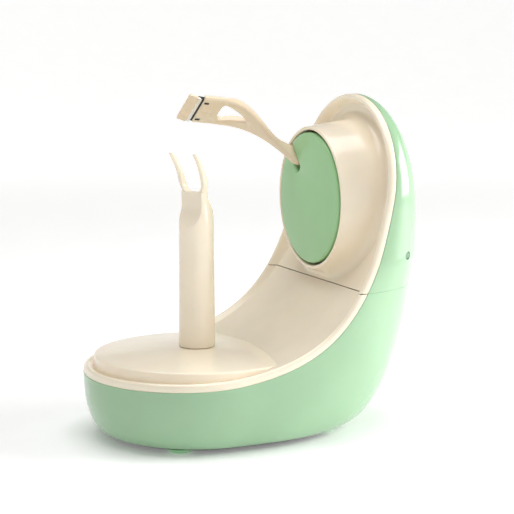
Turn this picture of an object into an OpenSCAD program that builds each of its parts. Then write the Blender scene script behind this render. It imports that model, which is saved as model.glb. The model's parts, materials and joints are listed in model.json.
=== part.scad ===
// Electric fruit peeler: a crescent-shaped body with a tray and a turning fork in front,
// and a drum with a turning disc that carries a swinging blade arm.
// X runs from the tray (-X) to the back (+X), Z is up, and the part stands on Z = 0.
// Lengths are millimetres. Heights are measured from the table, and the X of every curve
// below is measured from the fork's axis.

/* [Body] */
// Radius of the round front of the body at its rim
tray_r = 72; // [68:0.5:76]
// Distance from the fork's axis to the back of the body
back_reach = 141.5; // [138:0.5:146]
// Height of the rim where the coloured shell meets the cream liner at the front
tray_z = 43; // [42:0.5:45]
// Height at which the body parts into base and head
seam_z = 93; // [90:0.5:93.5]
// Wall of the coloured shells
wall = 2.4; // [2:0.1:2.8]
// Wall of the cream liners
liner_wall = 2.4; // [2:0.1:2.6]

/* [Tray] */
// Height of the middle of the tray's raised deck
deck_z = 55; // [54:0.5:57]
// Radius of the raised deck
deck_r = 65; // [62:0.5:66]
// How much lower the deck is at its edge than in its middle
deck_dome = 3.7; // [2:0.1:5]

/* [Fork] */
// Radius of the fork's post
post_r = 11.5; // [10:0.5:12.5]
// Height of the prongs' tips
fork_top_z = 178; // [172:1:180]
// Angle about Z that the fork faces at rest, from the tray's front
fork_turn = 23; // [0:1:45]

/* [Drum] */
// Height of the drum's axis
drum_z = 146; // [145:0.5:147]
// Distance from the fork's axis to the disc's face
disc_x = 78; // [76:0.5:80]
// Radius of the turning disc
disc_r = 43; // [42.5:0.1:43.2]
// Angle of the blade arm at rest, from straight up towards +Y
arm_turn = 41; // [35:1:47]

/* [Hidden] */
$fn = 48;
foot_h = 3;
plate_lip = 1;
head_r = 67;                      // the head's round top is struck about the drum's axis
top_z = drum_z + head_r;
post_x = -(back_reach - tray_r) / 2;   // centres the part's length on the origin
fit = 0.3;

// The rim, seen from the side, is a superellipse that rises from over the fork's axis to the head
panel_x = 113.3;
rim_reach = 205.8;
rim_rise = 311;
rim_power = 4.2;
function superellipse(v, p) = pow(1 - pow(v, p), 1 / p);
rim_low = tray_z - rim_rise * (1 - superellipse((rim_reach - panel_x) / rim_reach, rim_power));
function rim_x(z) = panel_x - rim_reach
    + rim_reach * superellipse((rim_low + rim_rise - z) / rim_rise, rim_power);
function rim_z(x) = rim_low + rim_rise
    - rim_rise * superellipse((x - panel_x + rim_reach) / rim_reach, rim_power);

// The back, seen from the side: a quarter ellipse below its furthest point, and a fuller one above
belly_z = 110;
heel_x = 95;
crown_x = 112;
function back_x(z) = z < belly_z
    ? heel_x + (back_reach - heel_x) * sqrt(1 - pow((belly_z - z) / (belly_z - foot_h), 2))
    : crown_x + (back_reach - crown_x) * sqrt(max(0, 1 - pow((z - belly_z) / (top_z - belly_z), 1.7)));

// Half width at a height: a turned-in lower edge, an even waist, then the round head
sole_r = 57;
corner_power = 2.2;
waist_z = 60;
function half_width(z) =
    z < tray_z ? sole_r + (tray_r - sole_r)
        * superellipse(min(1, (tray_z - z) / (tray_z - foot_h)), corner_power)
    : z < waist_z ? tray_r
    : z < drum_z ? head_r + (tray_r - head_r) * (1 + cos(180 * (z - waist_z) / (drum_z - waist_z))) / 2
    : sqrt(max(0, head_r * head_r - pow(z - drum_z, 2)));

// A level section: straight sides, a superelliptic rear that starts at waist_x, and a round front
side_power = 2.2;
arc_n = 14;
sole_x = 15;
function waist_x(z) = z < belly_z ? sole_x + 75 * pow(max(0, z - foot_h) / (belly_z - foot_h), 1.6) : rim_x(z);
function signed_pow(v, p) = sign(v) * pow(abs(v), p);
function rear_arc(x0, x1, w, z, a0 = 90) = [for (i = [0:arc_n]) let (a = a0 * (1 - 2 * i / arc_n))
    [x0 + (x1 - x0) * pow(abs(cos(a)), 2 / side_power), w * signed_pow(sin(a), 2 / side_power), z]];
function front_arc(r, z) = [for (i = [0:arc_n]) let (a = -90 - 180 * i / arc_n) [r * cos(a), r * sin(a), z]];
function full_ring(h, inset, z) = let (w = half_width(h) - inset)
    concat(rear_arc(waist_x(h), back_x(max(h, foot_h)) - inset, w, z), front_arc(w, z));
// Half width of the body at a point in side view
function side_y(x, z) = half_width(z)
    * superellipse(max(0, min(1, (x - waist_x(z)) / (back_x(z) - waist_x(z)))), side_power);
function rear_ring(z, inset, reach) = let (xw = waist_x(z), x0 = rim_x(z),
        x1 = max(back_x(z) - inset, x0 + 0.8), w = max(half_width(z) - inset, 0.6),
        start = max(0, (x0 + 0.05 * (x1 - x0) - xw) / (x1 - xw)), edge = max(0, (x0 - xw) / (x1 - xw)),
        y = w * superellipse(edge, side_power),
        arc = rear_arc(xw, x1, w, z, acos(pow(start, side_power / 2))))
    concat([[x0, y, z]], arc, [[x0, -y, z]], reach > 0 ? [[x0 - reach, -y, z], [x0 - reach, y, z]] : []);

// A closed solid through rings that have the same number of points
module skin(rings) {
    n = len(rings[0]);
    m = len(rings);
    points = [for (ring = rings) each ring];
    sides = [for (k = [0:m - 2]) for (i = [0:n - 1]) let (j = (i + 1) % n)
        each [[k * n + i, (k + 1) * n + j, (k + 1) * n + i], [k * n + i, k * n + j, (k + 1) * n + j]]];
    polyhedron(points, concat(sides, [[for (i = [n - 1:-1:0]) i]],
        [[for (i = [0:n - 1]) (m - 1) * n + i]]), convexity = 8);
}

function steps(a, b, n) = [for (i = [0:n]) a + (b - a) * i / n];
// Heights up the rim, closer together low down, where it is nearly level
function rim_steps() = concat(steps(tray_z, tray_z + 8, 4), steps(tray_z + 14, drum_z, 10));
function corner_steps(n) = [for (i = [0:n]) foot_h + (tray_z - foot_h) * (1 - cos(90 * i / n))];
function head_steps(n) = [for (i = [1:n]) drum_z + (head_r - 0.3) * sin(88 * i / n)];

// The whole body, set in by inset; reach carries it down, and out past the rim, as a cutter needs
module body_solid(inset = 0, reach = 0) {
    tray = [for (z = corner_steps(6)) full_ring(z, inset, z)];
    above = [for (z = concat(rim_steps(), head_steps(6))) rear_ring(z, inset, reach)];
    skin(reach > 0 ? concat([full_ring(foot_h, inset, foot_h - 2)], tray,
        [full_ring(tray_z, inset + 0.4, tray_z + 0.2), full_ring(tray_z, inset + 0.4, tray_z + reach)]) : tray);
    skin(above);
}

module as_mesh() { resize([0, 0, 0]) children(); }
module at_post() { translate([post_x, 0, 0]) children(); }
module slab(z0, z1) { translate([-150, -100, z0]) cube([400, 200, z1 - z0]); }
module along_x(x, y, z) { translate([x, y, z]) rotate([0, 90, 0]) children(); }
module along_y(x, y, z) { translate([x, y, z]) rotate([90, 0, 0]) children(); }
module mirrored() { children(); mirror([0, 1, 0]) children(); }

// ---- Places shared by several pieces -------------------------------------------------------
foot_places = [[-28, 41.5], [-28, -41.5], [72, 32], [72, -32]];
screw_places = [[-42, 14], [-42, -14], [56, 40], [56, -40]];
screw_r = 1.5;
side_screw_x = 117;
side_screw_z = 114;
side_screw_y = 57.4;
side_screw_r = 2.3;
button_z = 52;
button_r = 8;
socket_z = 22;
board_x = 108;

// ---- Shells --------------------------------------------------------------------------------
module shell_mesh(z0, z1) {
    as_mesh() intersection() {
        difference() {
            body_solid();
            body_solid(wall, 40);
        }
        slab(z0, z1);
    }
}

module base_shell() {
    color("#a6dcae") at_post() difference() {
        shell_mesh(0, seam_z - 0.15);
        along_x(120, 0, button_z) cylinder(r = button_r + fit, h = 30);
        translate([105, -4.9, socket_z - 2]) cube([25, 9.8, 4]);
    }
}

module head_shell() {
    color("#a6dcae") at_post() difference() {
        shell_mesh(seam_z + 0.15, top_z + 1);
        mirrored() along_y(side_screw_x, 80, side_screw_z) cylinder(r = side_screw_r + fit, h = 40);
    }
}

// ---- Liners --------------------------------------------------------------------------------
bead_r = 2.4;
function rim_slope(x) = (rim_z(x + 0.05) - rim_z(x - 0.05)) / 0.1;
// The rim curve at a height, set in towards the fruit by d, as [x, z]
function rim_inset(z, d) = let (x = rim_x(z), n = [-rim_slope(x), 1]) [x, z] + d * n / norm(n);

// The ramp and panel are one curved plate, straight across and as wide as the shell leaves room
function plate_ring(z) = let (a = rim_inset(z, bead_r), b = rim_inset(z, bead_r - liner_wall),
        w = max(side_y(rim_x(z), z) - wall - fit, 0.5))
    [[a[0], -w, a[1]], [a[0], w, a[1]], [b[0], w, b[1]], [b[0], -w, b[1]]];
module curved_plate() {
    skin([for (z = concat(rim_steps(), head_steps(6))) plate_ring(z)]);
}

// The rim bead's path: round the tray, up the ramp, over the head and down the other side
function bead_front(n) = [for (i = [0:n - 1]) let (a = 180 - 90 * i / n)
    [(tray_r - bead_r) * cos(a), (tray_r - bead_r) * sin(a), tray_z + bead_r]];
function bead_side() = [for (z = rim_steps())
    let (q = rim_inset(z, bead_r)) [q[0], side_y(rim_x(z), z) - bead_r, q[1]]];
function bead_arch(n) = [for (i = [1:n]) let (a = 90 * i / n, z = drum_z + (head_r - bead_r) * sin(a))
    [rim_inset(z, bead_r)[0], (head_r - bead_r) * cos(a), z]];
function bead_half() = concat(bead_front(9), bead_side(), bead_arch(8));
function bead_path() = let (h = bead_half(), n = len(h))
    concat(h, [for (i = [n - 2:-1:1]) [h[i][0], -h[i][1], h[i][2]]]);

function unit(v) = v / norm(v);
// A closed tube of eight sides along a closed path
module closed_tube(path, r) {
    n = len(path);
    k = 8;
    points = [for (i = [0:n - 1]) let (t = unit(path[(i + 1) % n] - path[(i + n - 1) % n]),
        u = unit(cross(t, [-1, 0, 1])), v = cross(t, u)) for (j = [0:k - 1]) let (a = 360 * (j + 0.5) / k)
        path[i] + r * cos(a) * u + r * sin(a) * v];
    polyhedron(points, [for (i = [0:n - 1]) for (j = [0:k - 1])
        let (a = i * k + j, b = i * k + (j + 1) % k, c = ((i + 1) % n) * k + (j + 1) % k, d = ((i + 1) % n) * k + j)
        each [[a, c, b], [a, d, c]]], convexity = 8);
}

module deck_profile() {
    cap_r = (deck_r * deck_r + deck_dome * deck_dome) / (2 * deck_dome);
    dome = [for (i = [0:8]) let (r = deck_r * i / 8) [r, deck_z - cap_r + sqrt(cap_r * cap_r - r * r)]];
    polygon(concat(dome, [[deck_r, tray_z + 0.5], [deck_r - liner_wall, tray_z + 0.5]],
        [[deck_r - liner_wall, deck_z - deck_dome - liner_wall], [0, deck_z - liner_wall]]));
}

deck_back = 38;
module base_liner() {
    color("#f3ead2") at_post() difference() {
        as_mesh() {
            difference() {
                intersection() {
                    union() {
                        curved_plate();
                        closed_tube(bead_path(), bead_r);
                    }
                    slab(0, seam_z - 0.15);
                }
                translate([0, 0, tray_z - 5]) cylinder(r = deck_r - 1, h = deck_z - tray_z + 1.2, $fn = 60);
            }
            rotate([0, 0, 90]) rotate_extrude(angle = 180, $fn = 60) translate([deck_r - 1, tray_z])
                square([tray_r - wall - fit - deck_r + 1, liner_wall]);
            intersection() {
                rotate_extrude($fn = 60) deck_profile();
                translate([-100, -100, 0]) cube([100 + deck_back, 200, 100]);
            }
        }
        translate([0, 0, deck_z - 12]) cylinder(r = 7, h = 20);
    }
}

drum_root_r = 52;
module head_liner() {
    color("#f3ead2") at_post() difference() {
        as_mesh() intersection() {
            union() {
                curved_plate();
                closed_tube(bead_path(), bead_r);
            }
            slab(seam_z + 0.15, top_z + 9);
        }
        along_x(drum_front, 0, drum_z) cylinder(r1 = drum_mouth + 0.1, r2 = drum_root_r + 0.1,
            h = drum_back - 4 - drum_front);
        along_x(drum_back - 4.1, 0, drum_z) cylinder(r = drum_root_r + 0.1, h = 20);
    }
}

// ---- Drum ----------------------------------------------------------------------------------
drum_in = disc_r + 0.6;
drum_mouth = 46;
drum_front = disc_x + 0.6;
drum_back = 112;
module drum_housing() {
    lip = 1.2;
    color("#f3ead2") at_post() difference() {
        along_x(0, 0, drum_z) rotate_extrude() polygon([
            [drum_in, drum_front + lip], [drum_in + lip, drum_front], [drum_mouth - lip, drum_front],
            [drum_mouth + 0.2, drum_front + lip], [drum_root_r, drum_back - 4], [drum_root_r, drum_back],
            [drum_root_r - liner_wall, drum_back], [drum_root_r - liner_wall - 2, drum_back - 4],
            [drum_in + 1, 100], [drum_in, 99]]);
        slab(0, seam_z + 0.5);
    }
}

gear_plate_x = 104;
gear_plate_t = 2.5;
rotor_shaft_r = 5;
rotor_bush_r = 8;
rotor_teeth = 56;
pinion_teeth = 14;
tooth_m = 1;
rotor_gap = (rotor_teeth + pinion_teeth) * tooth_m / 2;
rotor_gear_x = 98;
gear_w = 4;
running = 0.05;

module gear_plate() {
    color("#c9ccce") at_post() difference() {
        along_x(gear_plate_x, 0, drum_z) cylinder(r = drum_in + 0.8, h = gear_plate_t);
        along_x(gear_plate_x - 1, 0, drum_z) cylinder(r = rotor_bush_r, h = 10);
        along_x(gear_plate_x - 1, 0, drum_z - rotor_gap) cylinder(r = 4, h = 10);
        for (a = [30, 150, 270]) rotate_about_drum(a) along_x(gear_plate_x - 1, 0, drum_z + 38)
            cylinder(r = screw_r + 0.1, h = 10);
    }
}

module rotate_about_drum(a) { translate([0, 0, drum_z]) rotate([-a, 0, 0]) translate([0, 0, -drum_z]) children(); }

module gear_plate_screws() {
    color("#8d9092") at_post() for (a = [30, 150, 270]) rotate_about_drum(a) {
        along_x(gear_plate_x - 2.2, 0, drum_z + 38) cylinder(r = 2.8, h = 2.2);
        along_x(gear_plate_x - 2.2, 0, drum_z + 38) cylinder(r = screw_r, h = 9);
    }
}

module rotor_bush() {
    color("#c79a4b") at_post() difference() {
        union() {
            along_x(gear_plate_x, 0, drum_z) cylinder(r = rotor_bush_r, h = 8);
            along_x(gear_plate_x + gear_plate_t, 0, drum_z) cylinder(r = rotor_bush_r + 2, h = 2);
        }
        along_x(gear_plate_x - 1, 0, drum_z) cylinder(r = rotor_shaft_r + running, h = 12);
    }
}

// A spur gear with straight-flanked teeth, centred on Z
module spur(teeth, w, phase = 0) {
    pitch_r = teeth * tooth_m / 2;
    half = 90 / teeth;
    linear_extrude(w) polygon([for (i = [0:teeth - 1]) let (c = phase + 360 * i / teeth)
        each [for (q = [[-1.35, -1.2], [-0.44, 0.85], [0.44, 0.85], [1.35, -1.2]])
            let (r = pitch_r + q[1] * tooth_m, a = c + q[0] * half) [r * cos(a), r * sin(a)]]]);
}

// ---- Rotor: everything that turns with the disc ----------------------------------------------
disc_t = 4;
slot_w = 6.4;
slot_in = 20;
pivot_x = disc_x + 9.5;
pivot_r = 26;
arm_w = 5.4;
pin_r = 1.75;
cheek_t = 3.6;
cheek_gap = 3.1;
hub_x = disc_x + disc_t;
hub_back = rotor_gear_x;

module in_arm_plane() { rotate_about_drum(arm_turn) children(); }

module face_disc() {
    color("#98cf9f") at_post() in_arm_plane() difference() {
        along_x(disc_x, 0, drum_z) cylinder(r = disc_r, h = disc_t);
        translate([disc_x - 1, -slot_w / 2, drum_z + slot_in]) cube([disc_t + 2, slot_w, disc_r]);
        along_x(hub_x - 2, 0, drum_z - 20) cylinder(r = screw_r, h = 3);
        along_x(hub_x - 2, 0, drum_z - 32) cylinder(r = screw_r, h = 3);
    }
}

module rotor_hub() {
    color("#e4dcc6") at_post() in_arm_plane() difference() {
        union() {
            along_x(hub_back - 4, 0, drum_z) cylinder(r = 36, h = 4);
            mirrored() translate([hub_x, cheek_gap, drum_z + 12]) cube([hub_back - 4 - hub_x, cheek_t, 22]);
            for (z = [-20, -32]) along_x(hub_x, 0, drum_z + z) cylinder(r = 4, h = hub_back - 4 - hub_x);
        }
        along_y(pivot_x, 15, drum_z + pivot_r) cylinder(r = pin_r, h = 30);
        along_x(hub_back - 5, 0, drum_z) cylinder(r = rotor_shaft_r, h = 6);
    }
}

module rotor_shaft() {
    color("#b9bcbe") at_post() along_x(hub_back - 4, 0, drum_z) cylinder(r = rotor_shaft_r, h = 20);
}

module rotor_gear() {
    color("#efeee8") at_post() in_arm_plane() difference() {
        along_x(rotor_gear_x, 0, drum_z) spur(rotor_teeth, gear_w);
        along_x(rotor_gear_x - 1, 0, drum_z) cylinder(r = rotor_shaft_r, h = gear_w + 2);
    }
}

module shaft_clip() {
    color("#55585a") at_post() along_x(gear_plate_x + 8.4, 0, drum_z) difference() {
        cylinder(r = rotor_shaft_r + 2, h = 1);
        translate([0, 0, -1]) cylinder(r = rotor_shaft_r, h = 3);
    }
}

module arm_pin() {
    color("#b9bcbe") at_post() in_arm_plane() along_y(pivot_x, cheek_gap + cheek_t, drum_z + pivot_r)
        cylinder(r = pin_r, h = 2 * (cheek_gap + cheek_t));
}

// The pinion's teeth fall in the gear's gaps where the two pitch circles touch
module rotor_pinion() {
    color("#efeee8") at_post() along_x(rotor_gear_x, 0, drum_z - rotor_gap) difference() {
        spur(pinion_teeth, gear_w, mesh_phase(arm_turn));
        translate([0, 0, -1]) cylinder(r = 1.5, h = gear_w + 2);
    }
}
function mesh_phase(turn) = 180 + 180 / pinion_teeth - (180 - turn) * rotor_teeth / pinion_teeth;

module rotor_motor() {
    color("#8f9396") at_post() {
        along_x(gear_plate_x + gear_plate_t, 0, drum_z - rotor_gap) cylinder(r = 10, h = 20);
        along_x(gear_plate_x + gear_plate_t - 3, 0, drum_z - rotor_gap) cylinder(r = 3.6, h = 3.5);
        along_x(rotor_gear_x, 0, drum_z - rotor_gap) cylinder(r = 1.45, h = 8);
    }
}

// ---- Blade arm -------------------------------------------------------------------------------
// The arm's middle line in its own plane: distance in front of the pivot's plane, and radius
arm_line = [[pivot_x, pivot_r], [disc_x - 2, 28.5], [73, 34.5], [66.5, 47], [58, 60.5], [50, 68],
    [41, 71], [30, 72.8], [22, 73.3]];
// Where it leaves the disc the arm widens into a fin that fills the slot's length
arm_fin = [[pivot_x, 24], [disc_x - 1, 25.5], [71, 36], [66, 46.5], [68.6, 48.2], [disc_x - 2, 43.2],
    [disc_x - 0.5, 42.3], [disc_x + 6, 41], [pivot_x, 32]];
// Half widths of the arm at those points
arm_half = [arm_w / 2, arm_w / 2, 2.7, 3.2, 6.5, 8.8, 10.8, 12.2, 12.5];
arm_t = 5;

module arm_link(i, y0, y1, y2, y3) {
    a = arm_line[i];
    b = arm_line[i + 1];
    hull() {
        along_y(a[0], y1, drum_z + a[1]) cylinder(r = arm_t / 2, h = y1 - y0, $fn = 20);
        along_y(b[0], y3, drum_z + b[1]) cylinder(r = arm_t / 2, h = y3 - y2, $fn = 20);
    }
}

strut = 4.4;
module arm_frame() {
    color("#f3ead2") at_post() in_arm_plane() difference() {
        union() {
            along_y(pivot_x, arm_w / 2, drum_z + pivot_r) cylinder(r = 4.2, h = arm_w);
            along_y(0, arm_w / 2, drum_z) linear_extrude(arm_w) polygon(arm_fin);
            for (i = [0:3]) arm_link(i, -arm_half[i], arm_half[i], -arm_half[i + 1], arm_half[i + 1]);
            for (i = [4:6]) for (s = [-1, 1]) arm_link(i,
                min(s * arm_half[i], s * (arm_half[i] - strut)), max(s * arm_half[i], s * (arm_half[i] - strut)),
                min(s * arm_half[i + 1], s * (arm_half[i + 1] - strut)),
                max(s * arm_half[i + 1], s * (arm_half[i + 1] - strut)));
            arm_link(7, -arm_half[7], arm_half[7], -arm_half[8], arm_half[8]);
        }
        along_y(pivot_x, 10, drum_z + pivot_r) cylinder(r = pin_r + running, h = 20);
    }
}

guard_x = 10;
module blade_guard() {
    color("#f3ead2") at_post() in_arm_plane() difference() {
        translate([guard_x, -12.5, drum_z + 71.5]) rotate([0, 18, 0]) cube([7, 25, 2.4]);
        translate([guard_x + 4.2, -13, drum_z + 60]) cube([20, 26, 8]);
    }
}

module blade() {
    color("#e3e6e8") at_post() in_arm_plane()
        translate([guard_x + 7.2, -11.5, drum_z + 70.2]) rotate([0, 18, 0]) cube([3.4, 23, 0.8]);
}

// The dark bar that the arm, the blade and its guard are all fixed to
module blade_carrier() {
    color("#2b2c2e") at_post() in_arm_plane()
        translate([guard_x + 1.6, -11, drum_z + 68.2]) rotate([0, 18, 0]) cube([8.4, 22, 1.8]);
}

// ---- Fork ------------------------------------------------------------------------------------
stem_r = 6;
spindle_r = 4;
fork_gear_z = 24;
fork_teeth = 50;
fork_pinion_teeth = 12;
fork_gap = (fork_teeth + fork_pinion_teeth) * tooth_m / 2;
plate_t = 5.4;
fork_plate_w = 19;
plate_top = 153;
prong_w = 4;
// The middle of one prong and its size at steps up it: it leans forward and spreads
prong_line = [[-1.5, (fork_plate_w - prong_w) / 2, plate_top - 2], [-2.2, 8.8, plate_top + 6],
    [-5.4, 9.9, plate_top + 15], [-11.4, 10.6, fork_top_z - 0.5]];
prong_size = [[plate_t, prong_w, 8], [4.6, 3.3, 1], [4, 3, 1], [2.4, 2.6, 1]];

module prong_link(i) {
    hull() for (k = [i, i + 1]) translate(prong_line[k]) cube(prong_size[k], center = true);
}

module fork_post() {
    color("#f3ead2") at_post() rotate([0, 0, fork_turn]) {
        translate([0, 0, deck_z + 0.4]) cylinder(r1 = post_r, r2 = post_r - 0.6, h = 76);
        translate([0, 0, deck_z - 15]) cylinder(r = stem_r, h = 16);
        intersection() {
            translate([0, 0, deck_z + 70]) cylinder(r = post_r - 0.6, h = plate_top - deck_z - 70);
            hull() {
                translate([-plate_t / 2 - 1.5, -20, deck_z + 70]) cube([40, 40, 6]);
                translate([-plate_t / 2 - 1.5, -20, plate_top - 8]) cube([plate_t, 40, 8]);
            }
        }
        mirrored() for (i = [0:2]) prong_link(i);
    }
}

module fork_bush() {
    color("#c79a4b") at_post() difference() {
        union() {
            translate([0, 0, deck_z - 16]) cylinder(r = 9, h = 16 - liner_wall - 0.6);
            translate([0, 0, deck_z - 16]) cylinder(r = 12, h = 2);
        }
        translate([0, 0, deck_z - 20]) cylinder(r = stem_r + running, h = 30);
    }
}

module drive_spindle() {
    color("#b9bcbe") at_post() translate([0, 0, 7]) cylinder(r = spindle_r, h = deck_z - 15 - 7);
}

module fork_gear() {
    color("#efeee8") at_post() difference() {
        union() {
            translate([0, 0, fork_gear_z]) spur(fork_teeth, gear_w);
            translate([0, 0, fork_gear_z + gear_w]) cylinder(r = 8, h = 5);
        }
        translate([0, 0, fork_gear_z - 1]) cylinder(r = spindle_r, h = 20);
    }
}

module fork_pinion() {
    color("#efeee8") at_post() translate([fork_gap, 0, fork_gear_z]) difference() {
        spur(fork_pinion_teeth, gear_w, 180 + 180 / fork_pinion_teeth);
        translate([0, 0, -1]) cylinder(r = 1.5, h = gear_w + 2);
    }
}

module fork_motor() {
    color("#8f9396") at_post() translate([fork_gap, 0, 0]) {
        translate([0, 0, 7]) cylinder(r = 12, h = 15);
        translate([0, 0, 7]) cylinder(r = 1.45, h = 21);
    }
}

module motor_clamp() {
    color("#3c4042") at_post() difference() {
        translate([fork_gap - 19, -15, 5.2]) cube([38, 30, 8]);
        translate([fork_gap, 0, 6.9]) cylinder(r = 12.05, h = 20);
        translate([0, 0, 5]) cylinder(r = 15, h = 12);
    }
}

module spindle_bush() {
    color("#c79a4b") at_post() difference() {
        translate([0, 0, 5.2]) cylinder(r = 9, h = 12);
        translate([0, 0, 6.8]) cylinder(r = spindle_r + running, h = 20);
    }
}

// ---- Bottom, power and fasteners ---------------------------------------------------------------
function flat(ring) = [for (p = ring) [p[0], p[1]]];
module bottom_plate() {
    color("#4a4d4e") at_post() difference() {
        union() {
            translate([0, 0, foot_h - plate_lip]) linear_extrude(plate_lip - 0.1)
                polygon(flat(full_ring(foot_h, 1, 0)));
            translate([0, 0, foot_h - 0.2]) linear_extrude(2.3) polygon(flat(full_ring(foot_h, wall + fit, 0)));
        }
        for (p = screw_places) translate([p[0], p[1], 0]) {
            cylinder(r = screw_r + 0.15, h = 10);
            cylinder(r = 3.2, h = foot_h + 0.4);
        }
        for (p = foot_places) translate([p[0], p[1], 0]) cylinder(r = 3, h = 10);
    }
}

module bottom_bosses() {
    color("#3c4042") at_post() for (p = screw_places) translate([p[0], p[1], 5.2]) difference() {
        cylinder(r = 4, h = 30);
        translate([0, 0, -1]) cylinder(r = screw_r, h = 12);
    }
}

module bottom_screws() {
    color("#8d9092") at_post() for (p = screw_places) translate([p[0], p[1], 2.2]) {
        cylinder(r = 2.9, h = 1.2);
        cylinder(r = screw_r, h = 12);
    }
}

module feet() {
    color("#9fd0a6") at_post() for (p = foot_places) translate([p[0], p[1], 0]) {
        cylinder(r1 = 7, r2 = 8.5, h = foot_h - plate_lip);
        cylinder(r = 2.9, h = 4.6);
    }
}

module battery() {
    color("#3a6ea5") at_post() along_y(84, 32.5, 22) cylinder(r = 9.2, h = 65);
}

module battery_cradle() {
    color("#3c4042") at_post() difference() {
        translate([74, -26, 5.2]) cube([20, 52, 13]);
        along_y(84, 40, 22) cylinder(r = 9.3, h = 80);
        translate([78, -22, 5]) cube([12, 44, 20]);
    }
}

module circuit_board() {
    color("#2f6b4a") at_post() {
        translate([board_x, -17, 13]) cube([1.6, 34, 48]);
        translate([board_x + 1.6, -3, button_z - 3]) cube([4, 6, 6]);
        translate([board_x - 3, -10, 30]) cube([3, 8, 8]);
    }
}

module charge_socket() {
    color("#a9adb0") at_post() difference() {
        translate([board_x + 1.6, -4.5, socket_z - 1.6]) cube([10.6, 9, 3.2]);
        translate([board_x + 6, -3.9, socket_z - 1]) cube([10, 7.8, 2]);
    }
}

module power_button() {
    color("#8cc795") at_post() {
        along_x(127, 0, button_z) cylinder(r = button_r, h = 8);
        along_x(board_x + 8.2, 0, button_z) cylinder(r = 3, h = 12);
    }
}

bracket_y = 47;
module neck_bracket() {
    color("#3c4042") at_post() difference() {
        union() {
            translate([100, -bracket_y, seam_z - 3]) cube([16, 2 * bracket_y, 3]);
            mirrored() translate([112, bracket_y - 3, seam_z - 3]) cube([8, 3, 28]);
        }
        mirrored() along_y(side_screw_x, bracket_y + 5, side_screw_z) cylinder(r = screw_r, h = 10);
    }
}

module side_screws() {
    color("#8fa394") at_post() mirrored() {
        along_y(side_screw_x, side_screw_y + 3, side_screw_z) cylinder(r = side_screw_r, h = 2.5);
        along_y(side_screw_x, side_screw_y + 1, side_screw_z) cylinder(r = screw_r, h = 14);
    }
}

base_shell();
head_shell();
base_liner();
head_liner();
drum_housing();
gear_plate();
gear_plate_screws();
rotor_bush();
face_disc();
rotor_hub();
rotor_shaft();
rotor_gear();
shaft_clip();
arm_pin();
rotor_pinion();
rotor_motor();
arm_frame();
blade_guard();
blade();
blade_carrier();
fork_post();
fork_bush();
drive_spindle();
fork_gear();
fork_pinion();
fork_motor();
motor_clamp();
spindle_bush();
bottom_plate();
bottom_bosses();
bottom_screws();
feet();
battery();
battery_cradle();
circuit_board();
charge_socket();
power_button();
neck_bracket();
side_screws();
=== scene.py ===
"""Looks of an electric fruit peeler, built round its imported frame.

Every length is in metres and every place is in the frame's own axes: +X runs to the back, +Y to
the side that the blade arm leans to, and Z is up from the table. Curves that belong to the body
are worked out from the fork's axis, and moved to the frame's origin when they become a mesh.
"""

import json
import logging
import math
from dataclasses import dataclass
from enum import Enum

import bmesh
import bpy
import numpy as np
from mathutils import Matrix, Vector

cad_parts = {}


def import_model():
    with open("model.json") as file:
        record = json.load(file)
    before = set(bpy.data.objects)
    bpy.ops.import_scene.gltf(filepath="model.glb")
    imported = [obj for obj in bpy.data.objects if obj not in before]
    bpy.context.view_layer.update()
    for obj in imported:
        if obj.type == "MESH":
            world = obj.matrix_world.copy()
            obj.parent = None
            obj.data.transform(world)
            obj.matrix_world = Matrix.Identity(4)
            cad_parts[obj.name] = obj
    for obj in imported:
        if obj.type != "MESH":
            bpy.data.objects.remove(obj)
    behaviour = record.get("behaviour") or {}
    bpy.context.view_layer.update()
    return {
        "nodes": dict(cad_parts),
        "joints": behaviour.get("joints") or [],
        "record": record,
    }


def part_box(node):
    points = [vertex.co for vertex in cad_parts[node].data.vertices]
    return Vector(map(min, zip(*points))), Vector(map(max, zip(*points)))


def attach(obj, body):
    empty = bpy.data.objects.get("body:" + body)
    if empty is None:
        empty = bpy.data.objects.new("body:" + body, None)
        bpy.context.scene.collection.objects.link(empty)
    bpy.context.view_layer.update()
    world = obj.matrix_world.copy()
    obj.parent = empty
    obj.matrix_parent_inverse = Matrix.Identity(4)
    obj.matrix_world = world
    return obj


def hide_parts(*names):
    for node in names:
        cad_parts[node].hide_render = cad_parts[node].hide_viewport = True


MM = 0.001
DECK_Z = 55 * MM
DRUM_SET_BACK = 0.6 * MM
CAMERA_TARGET = (6.95 * MM, 0.0, 109.4 * MM)
WELD = 2e-6
SLIVER = 1e-6
Array = np.ndarray
log = logging.getLogger("peeler")


# ---- Curves and grids ---------------------------------------------------------------------------
def superellipse(value: Array, power: float) -> Array:
    """The height of a unit superellipse: one less value to the power, then the power's root.

    Args:
        value: Distance from the centre, from 0 to 1.
        power: 2 gives a circle, and more gives a fuller corner.
    Returns:
        The height, from 1 down to 0.
    """
    return (1.0 - np.clip(value, 0.0, 1.0) ** power) ** (1.0 / power)


def smooth(low: float, high: float, value: Array) -> Array:
    """Three t squared less two t cubed, where t runs from 0 at low to 1 at high."""
    t = np.clip((value - low) / (high - low), 0.0, 1.0)
    return t * t * (3.0 - 2.0 * t)


def signed_power(value: Array, power: float) -> Array:
    """The size of a value raised to a power, with the value's own sign."""
    return np.sign(value) * np.abs(value) ** power


def resample(points: Array, count: int) -> Array:
    """Points the same distance apart along a polyline.

    Args:
        points: Corners of the polyline, one row each.
        count: How many points to return.
    Returns:
        The points, first and last corner included.
    """
    steps = np.linalg.norm(np.diff(points, axis=0), axis=1)
    length = np.concatenate([[0.0], np.cumsum(steps)])
    wanted = np.linspace(0.0, length[-1], count)
    return np.stack([np.interp(wanted, length, column) for column in points.T], axis=1)


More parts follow.
